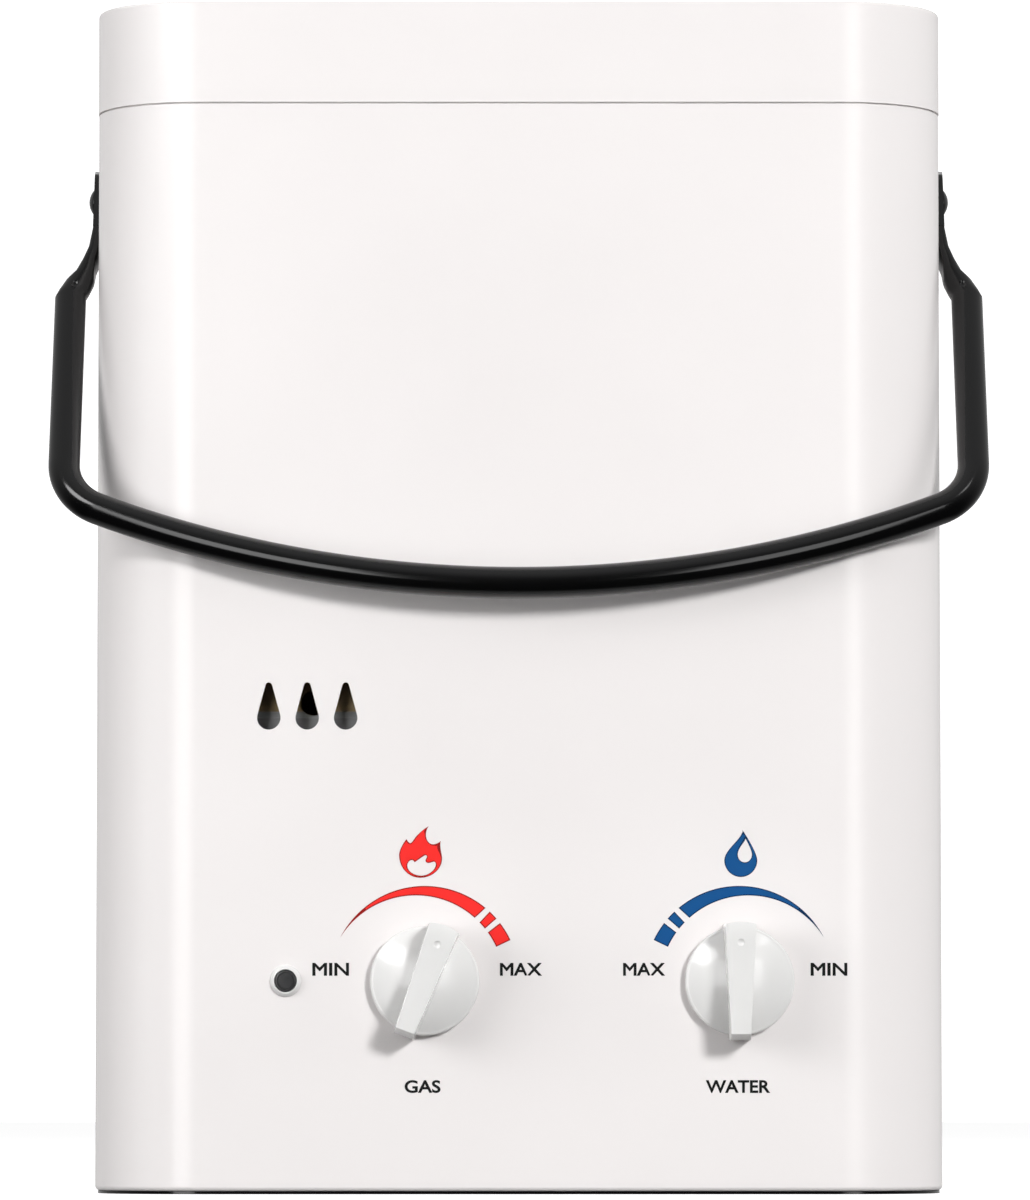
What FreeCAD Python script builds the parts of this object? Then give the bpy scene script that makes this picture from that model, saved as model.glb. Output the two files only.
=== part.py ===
import FreeCAD, Part
import math
import os
import Sketcher

# Portable propane water heater that stands on its pan or hangs from its rear bracket.
# Millimetres. +Z is up, +X is to the user's right, the front faces -Y, and the origin is
# the middle of the footprint on the floor.

Vector = FreeCAD.Vector
Rotation = FreeCAD.Rotation
Placement = FreeCAD.Placement

X_AXIS = Vector(1, 0, 0)
Y_AXIS = Vector(0, 1, 0)
Z_AXIS = Vector(0, 0, 1)
TO_FRONT = Rotation(X_AXIS, 90)
TO_REAR = Rotation(X_AXIS, -90)
TO_RIGHT = Rotation(Y_AXIS, 90)
TO_LEFT = Rotation(Y_AXIS, -90)
UPRIGHT = Rotation()

# Slack for comparing places, overlap of joined solids, and how far a cut runs past.
NEAR = 0.01
OVERLAP = 0.05
PAST = 1.0

# Name, size and meaning of every driving dimension.
DIMENSIONS = [
    ("body_width", 308.5, "casing across"),
    ("body_depth", 127.0, "casing front to back"),
    ("body_height", 432.0, "floor to the top of the cap"),
    ("corner_round", 38.0, "radius of the two front uprights"),
    ("cover_steel", 1.0, "painted cover sheet"),
    ("cover_foot", 1.0, "lower edge of the cover above the floor"),
    ("cover_hem", 6.0, "width of the hem turned in at the foot"),
    ("hem_bend", 1.8, "outer bend radius of that hem"),
    ("cover_flange", 12.0, "rear flanges of the cover"),
    ("cover_screw_low", 34.0, "lowest casing screws above the floor"),
    ("flange_short", 2.0, "upper end of the rear flanges below the collar"),
    ("casing_screw_round", 1.6, "radius of the casing screws' shanks"),
    ("casing_screw_head", 3.6, "radius of those screws' heads"),
    ("casing_screw_rise", 2.0, "height of those heads"),
    ("casing_screw_long", 7.0, "length of those shanks"),
    ("cap_height", 37.0, "height of the rain cap"),
    ("cap_steel", 1.0, "cap sheet"),
    ("cap_proud", 0.2, "how far the cap overhangs the cover"),
    ("cap_round", 1.5, "rounding of the cap's top edge"),
    ("cap_shadow", 0.6, "open line between cap and cover"),
    ("cap_screw_pitch", 110.0, "spacing of the cap's screws"),
    ("cap_screw_rise", 6.0, "lower edge of the cap to its screws"),
    ("flue_slot_low", 15.0, "lower centre of a flue slot above the cap's edge"),
    ("flue_slot_high", 29.0, "upper centre of a flue slot above the cap's edge"),
    ("flue_slot_round", 3.0, "radius of a flue slot's ends"),
    ("flue_slot_pitch", 14.0, "spacing of the flue slots"),
    ("back_steel", 1.0, "rear sheet"),
    ("back_inset", 0.3, "rear sheet inside the cover's outline"),
    ("back_slot_rise", 49.0, "deck to the lowest air slot of the rear sheet"),
    ("back_slot_half", 26.0, "half the straight length of an air slot in the rear sheet"),
    ("back_slot_column", 72.0, "spacing of the three columns of those slots"),
    ("back_slot_pitch", 11.0, "spacing of those slots in a column"),
    ("pan_steel", 1.0, "bottom pan sheet"),
    ("pan_inset", 1.0, "rim of the pan inside the cover's outline"),
    ("pan_rim", 8.0, "outline to the upright wall of the pan"),
    ("pan_rise", 42.0, "floor to the underside of the pan's deck"),
    ("deck_bend", 3.0, "outer bend radius round the deck"),
    ("pan_slot_half", 9.0, "half the straight length of an air slot in the deck"),
    ("pan_slot_depth", 45.0, "air slots of the deck from the middle"),
    ("slot_pitch", 28.0, "spacing of the deck's air slots"),
    ("slot_round", 2.0, "radius of the air slots' ends"),
    ("collar_steel", 0.8, "collar sheet"),
    ("collar_tuck", 17.0, "collar below the joint of cap and cover"),
    ("collar_rise", 13.0, "collar above that joint"),
    ("slip", 0.1, "clearance of nested sheets"),
    ("bracket_width", 130.0, "wall bracket across"),
    ("bracket_holes", 100.0, "spacing of the wall screws"),
    ("bracket_hole", 3.4, "radius of a wall screw hole"),
    ("bracket_drop", 80.0, "top of the cap to the wall screws"),
    ("bracket_stand", 7.0, "how far the bracket stands off the back"),
    ("bracket_steel", 1.6, "bracket sheet"),
    ("bracket_web", 28.0, "height of the bracket's standing web"),
    ("bracket_flange", 12.0, "height of the bracket's flanges"),
    ("bracket_slope", 3.0, "slope of the bracket's cheeks"),
    ("pivot_drop", 66.1, "top of the cap to the handle pivots"),
    ("handle_rest", 0.93, "room between the resting cross bar and the cover's front"),
    ("handle_tube", 5.75, "radius of the handle tube"),
    ("arm_gap", 10.65, "casing side to the centre of a handle arm"),
    ("arm_top", 42.0, "where the round tube starts below the pivot"),
    ("bend_round", 21.0, "centre-line radius of the handle corners"),
    ("bow_sag", 37.32, "dip of the cross bar's curve from arm to arm"),
    ("bow_drop", 166.6, "pivot to the middle of the cross bar"),
    ("tab_thick", 2.4, "flattened end of the tube"),
    ("tab_wide", 17.0, "width of the flattened end"),
    ("tab_rise", 11.9, "flattened end above the pivot"),
    ("tab_bend", 16.0, "pivot to where the flattened end swells"),
    ("washer_thick", 0.4, "nylon washer"),
    ("washer_round", 7.0, "radius of the nylon washer"),
    ("pivot_play", 0.1, "side play of the handle ends"),
    ("pivot_round", 3.0, "radius of the pivot screw's shoulder"),
    ("pivot_bore", 3.2, "radius of the hole in the handle end"),
    ("pivot_head", 4.6, "radius of the pivot screw's head"),
    ("pivot_dome", 2.1, "height of the pivot screw's head"),
    ("pivot_edge", 0.4, "upright edge of that head"),
    ("pivot_thread", 2.5, "radius of the pivot screw's thread"),
    ("pivot_thread_long", 8.0, "length of that thread"),
    ("nut_plate", 2.0, "thickness of a nut plate"),
    ("nut_plate_half", 15.0, "half the depth of a nut plate, and its reach below the pivot"),
    ("nut_plate_rise", 11.0, "nut plate above the pivot"),
    ("weld_nut_round", 5.5, "radius of a weld nut"),
    ("weld_nut_thick", 5.0, "thickness of a weld nut"),
    ("window_pitch", 13.85, "spacing of the sight windows"),
    ("window_left", -90.2, "first sight window across"),
    ("window_drop", 0.7, "bottom of the chamber to the windows' round end"),
    ("window_round", 4.23, "radius of the windows' round end"),
    ("window_tip", 1.2, "radius of the windows' upper tip"),
    ("window_tall", 11.6, "round end to tip centre"),
    ("control_rise", 33.5, "deck to the knobs and the button"),
    ("gas_across", -33.85, "gas knob across"),
    ("water_across", 79.4, "water knob across"),
    ("button_across", -83.9, "push button across"),
    ("gas_turn", 20.7, "clockwise rest angle of the gas knob in degrees"),
    ("knob_round", 19.65, "radius of the knob's skirt"),
    ("knob_gap", 0.6, "knob above the cover"),
    ("knob_rim", 4.6, "height of the knob's skirt edge"),
    ("knob_dome", 9.4, "height of the knob's dome"),
    ("knob_foot", 0.9, "how far the skirt draws in at its foot"),
    ("knob_foot_rise", 1.2, "height of that foot"),
    ("knob_edge", 1.6, "radius of the skirt's edge"),
    ("knob_edge_wide", 1.5, "width of that edge"),
    ("knob_edge_tall", 1.2, "height of that edge"),
    ("grip_high", 20.0, "height of the knob's grip"),
    ("grip_wide", 12.0, "grip width at the pointer end"),
    ("grip_narrow", 7.9, "grip width at the tail"),
    ("grip_point", 20.9, "middle to the pointer end"),
    ("grip_tail", 21.3, "middle to the tail end"),
    ("grip_foot", 0.4, "foot of the grip inside the disc"),
    ("grip_shoulder", 1.6, "length of the curve at the pointer end"),
    ("grip_draft", 1.5, "draft of the grip's sides in degrees"),
    ("grip_edge", 0.6, "radius of the grip's upper edges"),
    ("tail_drop", 3.5, "slope at the tail below the grip's top"),
    ("tail_set", 2.0, "length of that slope"),
    ("nose_long", 6.0, "pointer end to where the grip's top starts to fall"),
    ("nose_past", 2.0, "how far that fall is drawn past the pointer end"),
    ("nose_fall", 5.0, "fall of the grip's top there"),
    ("nose_round", 26.0, "radius of that fall"),
    ("dimple_along", 13.5, "middle of the knob to the grip's dimple"),
    ("dimple_round", 1.2, "radius of the dimple"),
    ("dimple_deep", 0.4, "depth of the dimple"),
    ("stem_round", 3.0, "radius of the valve stems"),
    ("stem_flat", 2.2, "axis to the flat of a stem"),
    ("stem_fit", 0.05, "clearance of knob on stem"),
    ("stem_play", 0.15, "clearance of stem in valve"),
    ("stem_seat", 12.0, "stem length inside the valve and the knob"),
    ("stem_chamfer", 0.5, "chamfer at the stem's tip"),
    ("stem_window", 8.0, "radius of the cover's hole round a stem"),
    ("valve_front", 48.0, "front of the valve bosses from the middle"),
    ("bezel_round", 5.7, "radius of the button's ring"),
    ("bezel_high", 2.0, "height of the button's ring"),
    ("bezel_bore", 4.1, "bore of the button's ring"),
    ("bezel_edge", 0.7, "upright edge of the button's ring"),
    ("bezel_slope", 1.1, "width of the ring's slope"),
    ("barrel_round", 4.9, "radius of the button's threaded barrel"),
    ("barrel_long", 12.0, "length of that barrel behind the cover"),
    ("button_round", 3.85, "radius of the button"),
    ("button_high", 1.8, "crown of the button above the cover"),
    ("button_travel", 2.0, "travel of the button"),
    ("button_slack", 0.5, "room behind the pressed button"),
    ("button_edge", 0.35, "edge round the button's crown"),
    ("button_nut_flats", 14.0, "button's nut across its flats"),
    ("button_nut_thick", 2.4, "thickness of the button's nut"),
    ("switch_half", 6.5, "half the side of the switch behind the button"),
    ("switch_deep", 11.0, "depth of that switch"),
    ("gas_inlet_round", 7.94, "radius of the flare thread"),
    ("gas_inlet_bore", 3.5, "bore of the gas inlet"),
    ("flare_rise", 2.6, "height of the gas inlet's flare cone"),
    ("gas_inlet_depth", -12.0, "gas inlet front to back"),
    ("gas_flange", 13.0, "radius of the gas inlet's flange"),
    ("gas_neck", 9.0, "radius of the gas inlet above its flange"),
    ("gas_nut", 24.0, "gas inlet's lock nut across its flats"),
    ("water_inlet_round", 13.5, "radius of the garden hose thread"),
    ("water_inlet_bore", 9.5, "bore of the cold inlet"),
    ("cold_flange", 19.0, "radius of the cold inlet's flange"),
    ("cold_neck", 13.0, "radius of the cold inlet above its flange"),
    ("cold_nut", 36.0, "cold inlet's lock nut across its flats"),
    ("strainer_tall", 12.0, "height of the inlet strainer"),
    ("strainer_wall", 1.2, "wall of the inlet strainer"),
    ("strainer_taper", 0.4, "how far the strainer narrows to its top"),
    ("water_depth", -10.0, "water valve front to back"),
    ("pushrod_round", 2.0, "radius of the diaphragm's pushrod"),
    ("pushrod_play", 0.3, "clearance of the pushrod in its guides"),
    ("rod_tip", 2.0, "pushrod inside the gas valve's bore"),
    ("rod_gap", 1.0, "pushrod to the diaphragm"),
    ("rod_shoulder", 3.0, "how far the pushrod's shoulder stands out"),
    ("rod_shoulder_along", 26.0, "pushrod's tip to that shoulder"),
    ("rod_shoulder_thick", 2.0, "thickness of that shoulder"),
    ("micro_long", 21.0, "length of the micro switch"),
    ("micro_half", 5.0, "half its width"),
    ("micro_lift", 12.0, "pushrod's axis to the micro switch"),
    ("micro_tall", 16.0, "height of the micro switch"),
    ("lever_lift", 3.5, "pushrod's axis to the switch lever"),
    ("lever_half", 2.0, "half the width of that lever"),
    ("lever_thick", 1.0, "thickness of that lever"),
    ("micro_foot", 2.0, "thickness of the switch's foot"),
    ("micro_foot_long", 12.0, "length of that foot"),
    ("valve_lift", 9.0, "deck to the water valve"),
    ("valve_clear", 1.0, "top of the water valve under the manifold"),
    ("valve_barrel", 15.0, "radius of the water valve's barrel"),
    ("valve_boss", 9.0, "radius of its stem boss"),
    ("valve_neck", 11.0, "radius of its neck to the diaphragm"),
    ("valve_outlet_rise", 17.5, "knob height to the valve's outlet"),
    ("valve_outlet", 7.5, "radius of that outlet"),
    ("valve_outlet_long", 22.0, "length of that outlet"),
    ("drain_arm", 5.5, "radius of the arm to the drain"),
    ("drain_arm_drop", 16.5, "knob height to that arm"),
    ("drain_wall", 7.0, "radius of the drain's upright"),
    ("diaphragm_reach", 29.0, "water valve's axis to the diaphragm"),
    ("diaphragm_round", 26.0, "radius of the diaphragm housing"),
    ("diaphragm_thick", 6.0, "thickness of the housing's flange"),
    ("diaphragm_chamfer", 2.0, "chamfer of its cover"),
    ("diaphragm_dome", 15.0, "radius of the cover's dome at its foot"),
    ("diaphragm_crown", 12.0, "radius of that dome at its crown"),
    ("diaphragm_tall", 11.0, "height of that crown"),
    ("diaphragm_circle", 21.5, "radius of the housing's screw circle"),
    ("diaphragm_screw_head", 3.2, "radius of those screws' heads"),
    ("diaphragm_screw_rise", 2.2, "height of those heads"),
    ("diaphragm_screw_long", 11.0, "length of those screws"),
    ("outlet_round", 10.67, "radius of the hot outlet thread"),
    ("outlet_bore", 7.0, "bore of the hot outlet"),
    ("hot_flange", 16.0, "radius of the hot outlet's flange"),
    ("hot_neck", 10.0, "radius of the hot outlet above its flange"),
    ("hot_nut", 30.0, "hot outlet's lock nut across its flats"),
    ("outlet_across", 22.0, "hot outlet across"),
    ("outlet_depth", 22.0, "hot outlet front to back"),
    ("outlet_lift", 19.0, "deck to the top of the hot outlet"),
    ("fitting_tip", 8.0, "lower end of the fittings above the floor"),
    ("fitting_hole", 0.3, "clearance of the pan's holes round the fittings"),
    ("nut_thick", 5.0, "lock nuts under the pan"),
    ("fitting_flange", 4.0, "flange of a fitting on the deck"),
    ("neck_relief", 0.6, "how much slimmer the neck is than the thread"),
    ("thread_chamfer", 0.8, "chamfer at the threads' ends"),
    ("drain_reach", 27.0, "water valve to the drain plug"),
    ("drain_round", 5.0, "radius of the drain plug's shank"),
    ("drain_knob_round", 9.0, "radius of the drain plug's knob"),
    ("drain_knob_low", 20.0, "floor to the drain plug's knob"),
    ("drain_knob_tall", 12.0, "height of that knob"),
    ("drain_lift", 5.0, "deck to the drain's seat"),
    ("chamber_width", 200.0, "combustion chamber across"),
    ("chamber_front", 46.0, "chamber front from the middle"),
    ("chamber_rear", 38.0, "chamber rear from the middle"),
    ("tray_tall", 44.0, "height of the burner tray under the chamber"),
    ("exchanger_tall", 46.0, "height of the heat exchanger on the chamber"),
    ("chamber_steel", 0.8, "chamber sheet"),
    ("sight_across", -74.6, "sight hole across"),
    ("sight_rise", 5.5, "bottom of the chamber to the sight hole"),
    ("sight_round", 4.5, "radius of the sight hole"),
    ("chamber_bracket", 16.0, "side of a chamber bracket"),
    ("chamber_bracket_across", 84.0, "chamber brackets across"),
    ("chamber_bracket_drop", 9.0, "cold pipe's first corner to the brackets"),
    ("spark_across", -26.0, "spark electrode across"),
    ("spark_long", 16.0, "spark electrode inside the chamber's front"),
    ("sensor_across", 30.0, "flame sensor across"),
    ("sensor_long", 26.0, "flame sensor inside the chamber's front"),
    ("electrode_rise", 9.0, "bottom of the chamber to the electrodes"),
    ("electrode_out", 6.0, "electrodes' shoulders and leads from the chamber's front"),
    ("electrode_wire", 1.0, "radius of an electrode's wire"),
    ("electrode_round", 3.0, "radius of an electrode's ceramic"),
    ("electrode_long", 13.0, "length of that ceramic"),
    ("electrode_stud", 2.0, "radius and length of an electrode's stud"),
    ("electrode_plate", 1.2, "electrode bracket sheet"),
    ("electrode_plate_half", 7.0, "half the height of that bracket"),
    ("electrode_plate_end", 9.0, "electrodes to that bracket's ends"),
    ("tray_rise", 12.0, "manifold to the burner tray"),
    ("burner_pitch", 24.0, "spacing of the burner bars"),
    ("burner_width", 13.0, "burner bar across"),
    ("burner_rise", 6.0, "foot of the tray to the burner bars"),
    ("burner_drop", 4.0, "bottom of the chamber to the bars' tops"),
    ("burner_slope", 2.0, "how far a bar's foot and neck draw in"),
    ("burner_foot", 4.0, "height of a bar's sloping foot"),
    ("burner_belly", 10.0, "height of a bar's upright belly"),
    ("burner_neck", 6.0, "height of a bar's neck"),
    ("mouth_round", 8.0, "radius of a bar's venturi mouth"),
    ("mouth_tall", 8.0, "height of that mouth"),
    ("mouth_taper", 15.0, "taper of that mouth in degrees"),
    ("tray_steel", 1.0, "burner tray sheet"),
    ("riser_long", 6.0, "gas valve to the manifold"),
    ("manifold_size", 12.0, "gas manifold section"),
    ("manifold_depth", -30.0, "gas manifold front to back"),
    ("riser_round", 7.0, "radius of the manifold's riser"),
    ("jet_round", 4.0, "radius of a jet's foot"),
    ("jet_tip", 2.2, "radius of a jet's tip"),
    ("jet_tall", 8.0, "height of a jet"),
    ("gas_valve_half", 22.0, "half the width of the gas valve"),
    ("gas_valve_below", 20.5, "gas valve below its stem"),
    ("gas_valve_above", 21.5, "gas valve above its stem"),
    ("gas_valve_ahead", 42.0, "front of the gas valve's block from the middle"),
    ("gas_valve_behind", 2.0, "rear of that block from the middle"),
    ("gas_valve_corner", 4.0, "radius of that block's uprights"),
    ("gas_boss", 10.0, "radius of the gas valve's stem boss"),
    ("pushrod_bore", 6.0, "depth of the gas valve's bore for the pushrod"),
    ("solenoid_depth", -25.0, "solenoid front to back"),
    ("solenoid_round", 11.0, "radius of the solenoid"),
    ("solenoid_neck", 8.0, "radius of the solenoid's neck"),
    ("solenoid_neck_long", 3.0, "length of that neck"),
    ("solenoid_long", 26.0, "length of the solenoid with its neck"),
    ("solenoid_chamfer", 1.5, "chamfer at the solenoid's end"),
    ("exchanger_drop", 86.0, "top of the cap to the top of the heat exchanger"),
    ("tube_round", 6.0, "radius of the exchanger tube"),
    ("tube_drop", 9.0, "top of the heat exchanger to its tube"),
    ("tube_pitch", 26.0, "spacing of the tube's passes"),
    ("tube_shift", 4.0, "middle pass of the tube before the middle"),
    ("tube_stub", 2.0, "tube's ends outside the shell"),
    ("tube_turn", 18.0, "tube's turns outside the shell"),
    ("fin_steel", 0.6, "fin sheet"),
    ("fin_gap", 4.0, "outer fins to the shell, and fins above its foot"),
    ("thermostat_depth", 6.0, "thermostat front to back"),
    ("thermostat_drop", 18.0, "top of the chamber to the thermostat"),
    ("thermostat_round", 8.0, "radius of the thermostat's disc"),
    ("thermostat_thick", 3.0, "thickness of that disc"),
    ("thermostat_cap", 6.0, "radius of the thermostat's cap"),
    ("thermostat_tall", 7.0, "height of the thermostat with its cap"),
    ("hood_drop", 6.0, "top of the collar to the flue hood"),
    ("hood_taper", 8.0, "how far the hood's sides draw in"),
    ("hood_behind", 54.0, "hood's rear from the middle"),
    ("pipe_round", 5.0, "radius of the water pipes"),
    ("pipe_bend", 12.0, "bend radius of the water pipes"),
    ("pipe_lane", 22.0, "chamber's side to the cold pipe's riser"),
    ("pipe_left", 12.0, "chamber's left side to the cold pipe"),
    ("pipe_ahead", 7.0, "chamber's front to the cold pipe"),
    ("pipe_behind", 8.0, "chamber's rear to the cold pipe"),
    ("pipe_step", 7.0, "rise of the cold pipe at each corner"),
    ("wrap_share", 0.336, "share of the chamber's height where the pipe starts round it"),
    ("hot_lane", 33.0, "chamber's side to the hot pipe's fall"),
    ("hot_drop", 8.0, "burner tray to the hot pipe under it"),
    ("pipe_nut", 18.0, "pipe nuts across their flats"),
    ("pipe_nut_long", 7.0, "length of a pipe nut"),
    ("pipe_nut_gap", 0.5, "pipe nut to the pipe's end"),
    ("lead_round", 1.3, "radius of the electrical leads"),
    ("lead_bend", 6.0, "bend radius of the leads"),
    ("lead_in", 6.0, "leads inside the igniter module's edge"),
    ("lead_pitch", 5.0, "spacing of the two electrode leads"),
    ("lead_rise", 8.0, "burner tray to the electrode leads"),
    ("battery_lead_rise", 50.0, "deck to the battery lead"),
    ("button_lead_in", 5.0, "barrel's end to the button's lead"),
    ("button_lead_rise", 9.0, "deck to the button's lead"),
    ("button_lead_end", 14.0, "button's lead at the module, from its edge and the deck"),
    ("module_gap", 2.0, "igniter module to the cover's flange"),
    ("module_wide", 38.0, "width of the igniter module"),
    ("module_deep", 32.0, "depth of the igniter module"),
    ("module_rise", 8.0, "deck to the igniter module and the tip-over switch"),
    ("module_tall", 58.0, "height of the igniter module"),
    ("tilt_across", 60.0, "left side of the tip-over switch"),
    ("tilt_side", 24.0, "side of the tip-over switch"),
    ("tilt_deep", 18.0, "depth of the tip-over switch"),
    ("battery_across", -100.0, "battery case across"),
    ("battery_depth", 16.0, "battery case front to back"),
    ("cell_round", 17.1, "radius of a D cell"),
    ("cell_tall", 61.5, "length of a D cell"),
    ("cell_pitch", 35.5, "spacing of the two cells"),
    ("cell_play", 0.6, "room round the cells"),
    ("cell_edge", 1.0, "chamfer of a cell"),
    ("cell_cap", 4.5, "radius of a cell's cap"),
    ("cell_cap_rise", 1.5, "height of a cell's cap"),
    ("cell_room", 1.0, "room over the cells"),
    ("case_wall", 1.5, "battery case wall"),
    ("case_tall", 67.5, "battery case height above the pan"),
    ("door_thick", 2.0, "battery door"),
    ("door_gap", 0.2, "gap between door and pan"),
    ("door_lap", 1.2, "how far the door laps the deck round its opening"),
    ("door_barrel", 2.2, "radius of the door's hinge barrel"),
    ("hinge_out", 2.6, "cells' room to the hinge pin"),
    ("hinge_drop", 0.4, "deck to the hinge barrel"),
    ("hinge_pin", 1.0, "radius of the hinge pin"),
    ("hinge_play", 0.15, "clearance of the door on the pin"),
    ("lug_near", 1.5, "cells' room to a hinge lug"),
    ("lug_far", 4.2, "cells' room to a hinge lug's outer face"),
    ("lug_half", 2.4, "half the side of a hinge lug"),
    ("ridge_half", 9.0, "half the length of the door's finger ridge"),
    ("ridge_set", 0.6, "door's edge to its finger ridge"),
    ("ridge_side", 1.4, "width and height of the finger ridge"),
    ("spring_round", 7.0, "radius of a contact spring's foot"),
    ("spring_tip", 3.5, "radius of a contact spring's tip"),
]


class Size:
    """A size that carries its number and the sheet expression that gives it."""

    def __init__(self, number, text):
        self.number = float(number)
        self.text = text

    def __add__(self, other):
        other = as_size(other)
        return Size(self.number + other.number, f"({self.text} + {other.text})")

    def __sub__(self, other):
        other = as_size(other)
        return Size(self.number - other.number, f"({self.text} - {other.text})")

    def __mul__(self, other):
        other = as_size(other)
        return Size(self.number * other.number, f"({self.text} * {other.text})")

    def __truediv__(self, other):
        other = as_size(other)
        return Size(self.number / other.number, f"({self.text} / {other.text})")

    def __radd__(self, other):
        return as_size(other) + self

    def __rsub__(self, other):
        return as_size(other) - self

    def __rmul__(self, other):
        return as_size(other) * self

    def __neg__(self):
        return Size(-self.number, f"(0 - {self.text})")


def as_size(value):
    """Take a plain number or a size and give a size."""
    return value if isinstance(value, Size) else Size(value, f"({float(value):.6f})")


class Sheet:
    """The spreadsheet of driving dimensions, each read by its alias."""

    def __init__(self, document, rows):
        self.cells = document.addObject("Spreadsheet::Sheet", "Sizes")
        self.numbers = {}
        for row, (name, number, meaning) in enumerate(rows, start=1):
            self.cells.set(f"A{row}", name)
            self.cells.set(f"B{row}", str(number))
            self.cells.set(f"C{row}", meaning)
            self.cells.setAlias(f"B{row}", name)
            self.numbers[name] = number

    def __getattr__(self, name):
        return Size(self.numbers[name], f"Sizes.{name}")


doc = FreeCAD.newDocument("water_heater")
size = Sheet(doc, DIMENSIONS)
doc.recompute()

# Places that several sub-parts share.
side = size.body_width / 2
front = -size.body_depth / 2
rear = size.body_depth / 2
deck = size.pan_rise + size.pan_steel
cap_low = size.body_height - size.cap_height
cover_top = cap_low - size.cap_shadow
collar_inset = size.cover_steel + size.slip
collar_low = cap_low - size.collar_tuck
collar_high = cap_low + size.collar_rise
bracket_height = size.body_height - size.bracket_drop
pivot_height = size.body_height - size.pivot_drop
arm_across = side + size.arm_gap
bow_round = (arm_across * arm_across + size.bow_sag * size.bow_sag) / (size.bow_sag * 2)
control_height = deck + size.control_rise
gas_valve_low = control_height - size.gas_valve_below
gas_valve_high = control_height + size.gas_valve_above
water_valve_low = deck + size.valve_lift
outlet_high = deck + size.outlet_lift
drain_seat = deck + size.drain_lift
drain_across = size.water_across + size.drain_reach
manifold_low = gas_valve_high + size.riser_long
water_valve_high = manifold_low - size.valve_clear
water_riser = control_height + size.valve_outlet_rise
tray_low = manifold_low + size.manifold_size + size.tray_rise
chamber_low = tray_low + size.tray_tall
exchanger_high = size.body_height - size.exchanger_drop
chamber_high = exchanger_high - size.exchanger_tall
tube_height = exchanger_high - size.tube_drop
first_pass = -size.tube_pitch - size.tube_shift
pipe_wrap = chamber_low + (chamber_high - chamber_low) * size.wrap_share
window_height = chamber_low - size.window_drop
electrode_height = chamber_low + size.electrode_rise
valve_bore = size.stem_round + size.stem_play
chamber_side = size.chamber_width / 2
battery_half = size.cell_pitch / 2 + size.cell_round + size.cell_play
battery_deep = size.cell_round + size.cell_play
nodes = []


# ---------------------------------------------------------------- helpers


def bind(thing, prop, value):
    """Tie one property to the sheet."""
    thing.setExpression(prop, as_size(value).text)


def place(thing, at=(0, 0, 0), turn=UPRIGHT):
    """Give an object its place, tied to the sheet, and its turn."""
    values = [as_size(value) for value in at]
    thing.Placement = Placement(Vector(*[value.number for value in values]), turn)
    for letter, value in zip("xyz", values):
        bind(thing, f"Placement.Base.{letter}", value)
    return thing


def named(thing, label):
    """Register a finished sub-part under its node name."""
    thing.Label = label
    nodes.append(thing)
    return thing


def new_body(label):
    """Start a PartDesign body."""
    return doc.addObject("PartDesign::Body", label)


def origin_item(body, role):
    """Find a body's own origin plane or axis."""
    return next(item for item in body.Origin.OriginFeatures if item.Role == role)


def sketch_on(body, role, lift=0):
    """Attach a sketch to one of the body's origin planes, lifted along its normal."""
    sketch = body.newObject("Sketcher::SketchObject", f"{body.Name}_sketch")
    sketch.AttachmentSupport = [(origin_item(body, role), "")]
    sketch.MapMode = "FlatFace"
    height = as_size(lift)
    sketch.AttachmentOffset = Placement(Vector(0, 0, height.number), UPRIGHT)
    bind(sketch, "AttachmentOffset.Base.z", height)
    return sketch


def hold(sketch, kind, value, *where):
    """Add one dimension to a sketch and tie it to the sheet."""
    value = as_size(value)
    index = sketch.addConstraint(Sketcher.Constraint(kind, *where, value.number))
    bind(sketch, f"Constraints[{index}]", value)


def hold_point(sketch, item, end, across, along):
    """Fix a point of a sketch item by its two distances from the origin."""
    hold(sketch, "DistanceX", across, -1, 1, item, end)
    hold(sketch, "DistanceY", along, -1, 1, item, end)


def draw(sketch, *corners):
    """Draw a closed outline. A third value at a corner is the radius of the arc that
    leaves it, positive when the arc turns left and negative when it turns right."""
    corners = [tuple(as_size(value) for value in corner) for corner in corners]
    legs = []
    for corner, following in zip(corners, corners[1:] + corners[:1]):
        begin = Vector(corner[0].number, corner[1].number, 0)
        finish = Vector(following[0].number, following[1].number, 0)
        if len(corner) == 2:
            item = sketch.addGeometry(Part.LineSegment(begin, finish), False)
            legs.append((item, 1, 2))
            continue
        radius = corner[2]
        chord = finish - begin
        left = Vector(-chord.y, chord.x, 0).normalize()
        turn = 1 if radius.number > 0 else -1
        reach = math.sqrt(max(radius.number**2 - (chord.Length / 2) ** 2, 0))
        centre = (begin + finish) * 0.5 + left * (reach * turn)
        start, end = (begin, finish) if turn > 0 else (finish, begin)
        angles = [math.atan2(p.y - centre.y, p.x - centre.x) for p in (start, end)]
        if angles[1] < angles[0]:
            angles[1] += 2 * math.pi
        circle = Part.Circle(centre, Z_AXIS, abs(radius.number))
        item = sketch.addGeometry(Part.ArcOfCircle(circle, *angles), False)
        hold(sketch, "Radius", radius if turn > 0 else -radius, item)
        legs.append((item, 1, 2) if turn > 0 else (item, 2, 1))
    for leg, following in zip(legs, legs[1:] + legs[:1]):
        joint = (leg[0], leg[2], following[0], following[1])
        sketch.addConstraint(Sketcher.Constraint("Coincident", *joint))
    for leg, corner in zip(legs, corners):
        hold_point(sketch, leg[0], leg[1], corner[0], corner[1])
    return sketch


def draw_box(sketch, left, low, right, high):
    """Draw a rectangle."""
    return draw(sketch, (left, low), (right, low), (right, high), (left, high))


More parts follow.
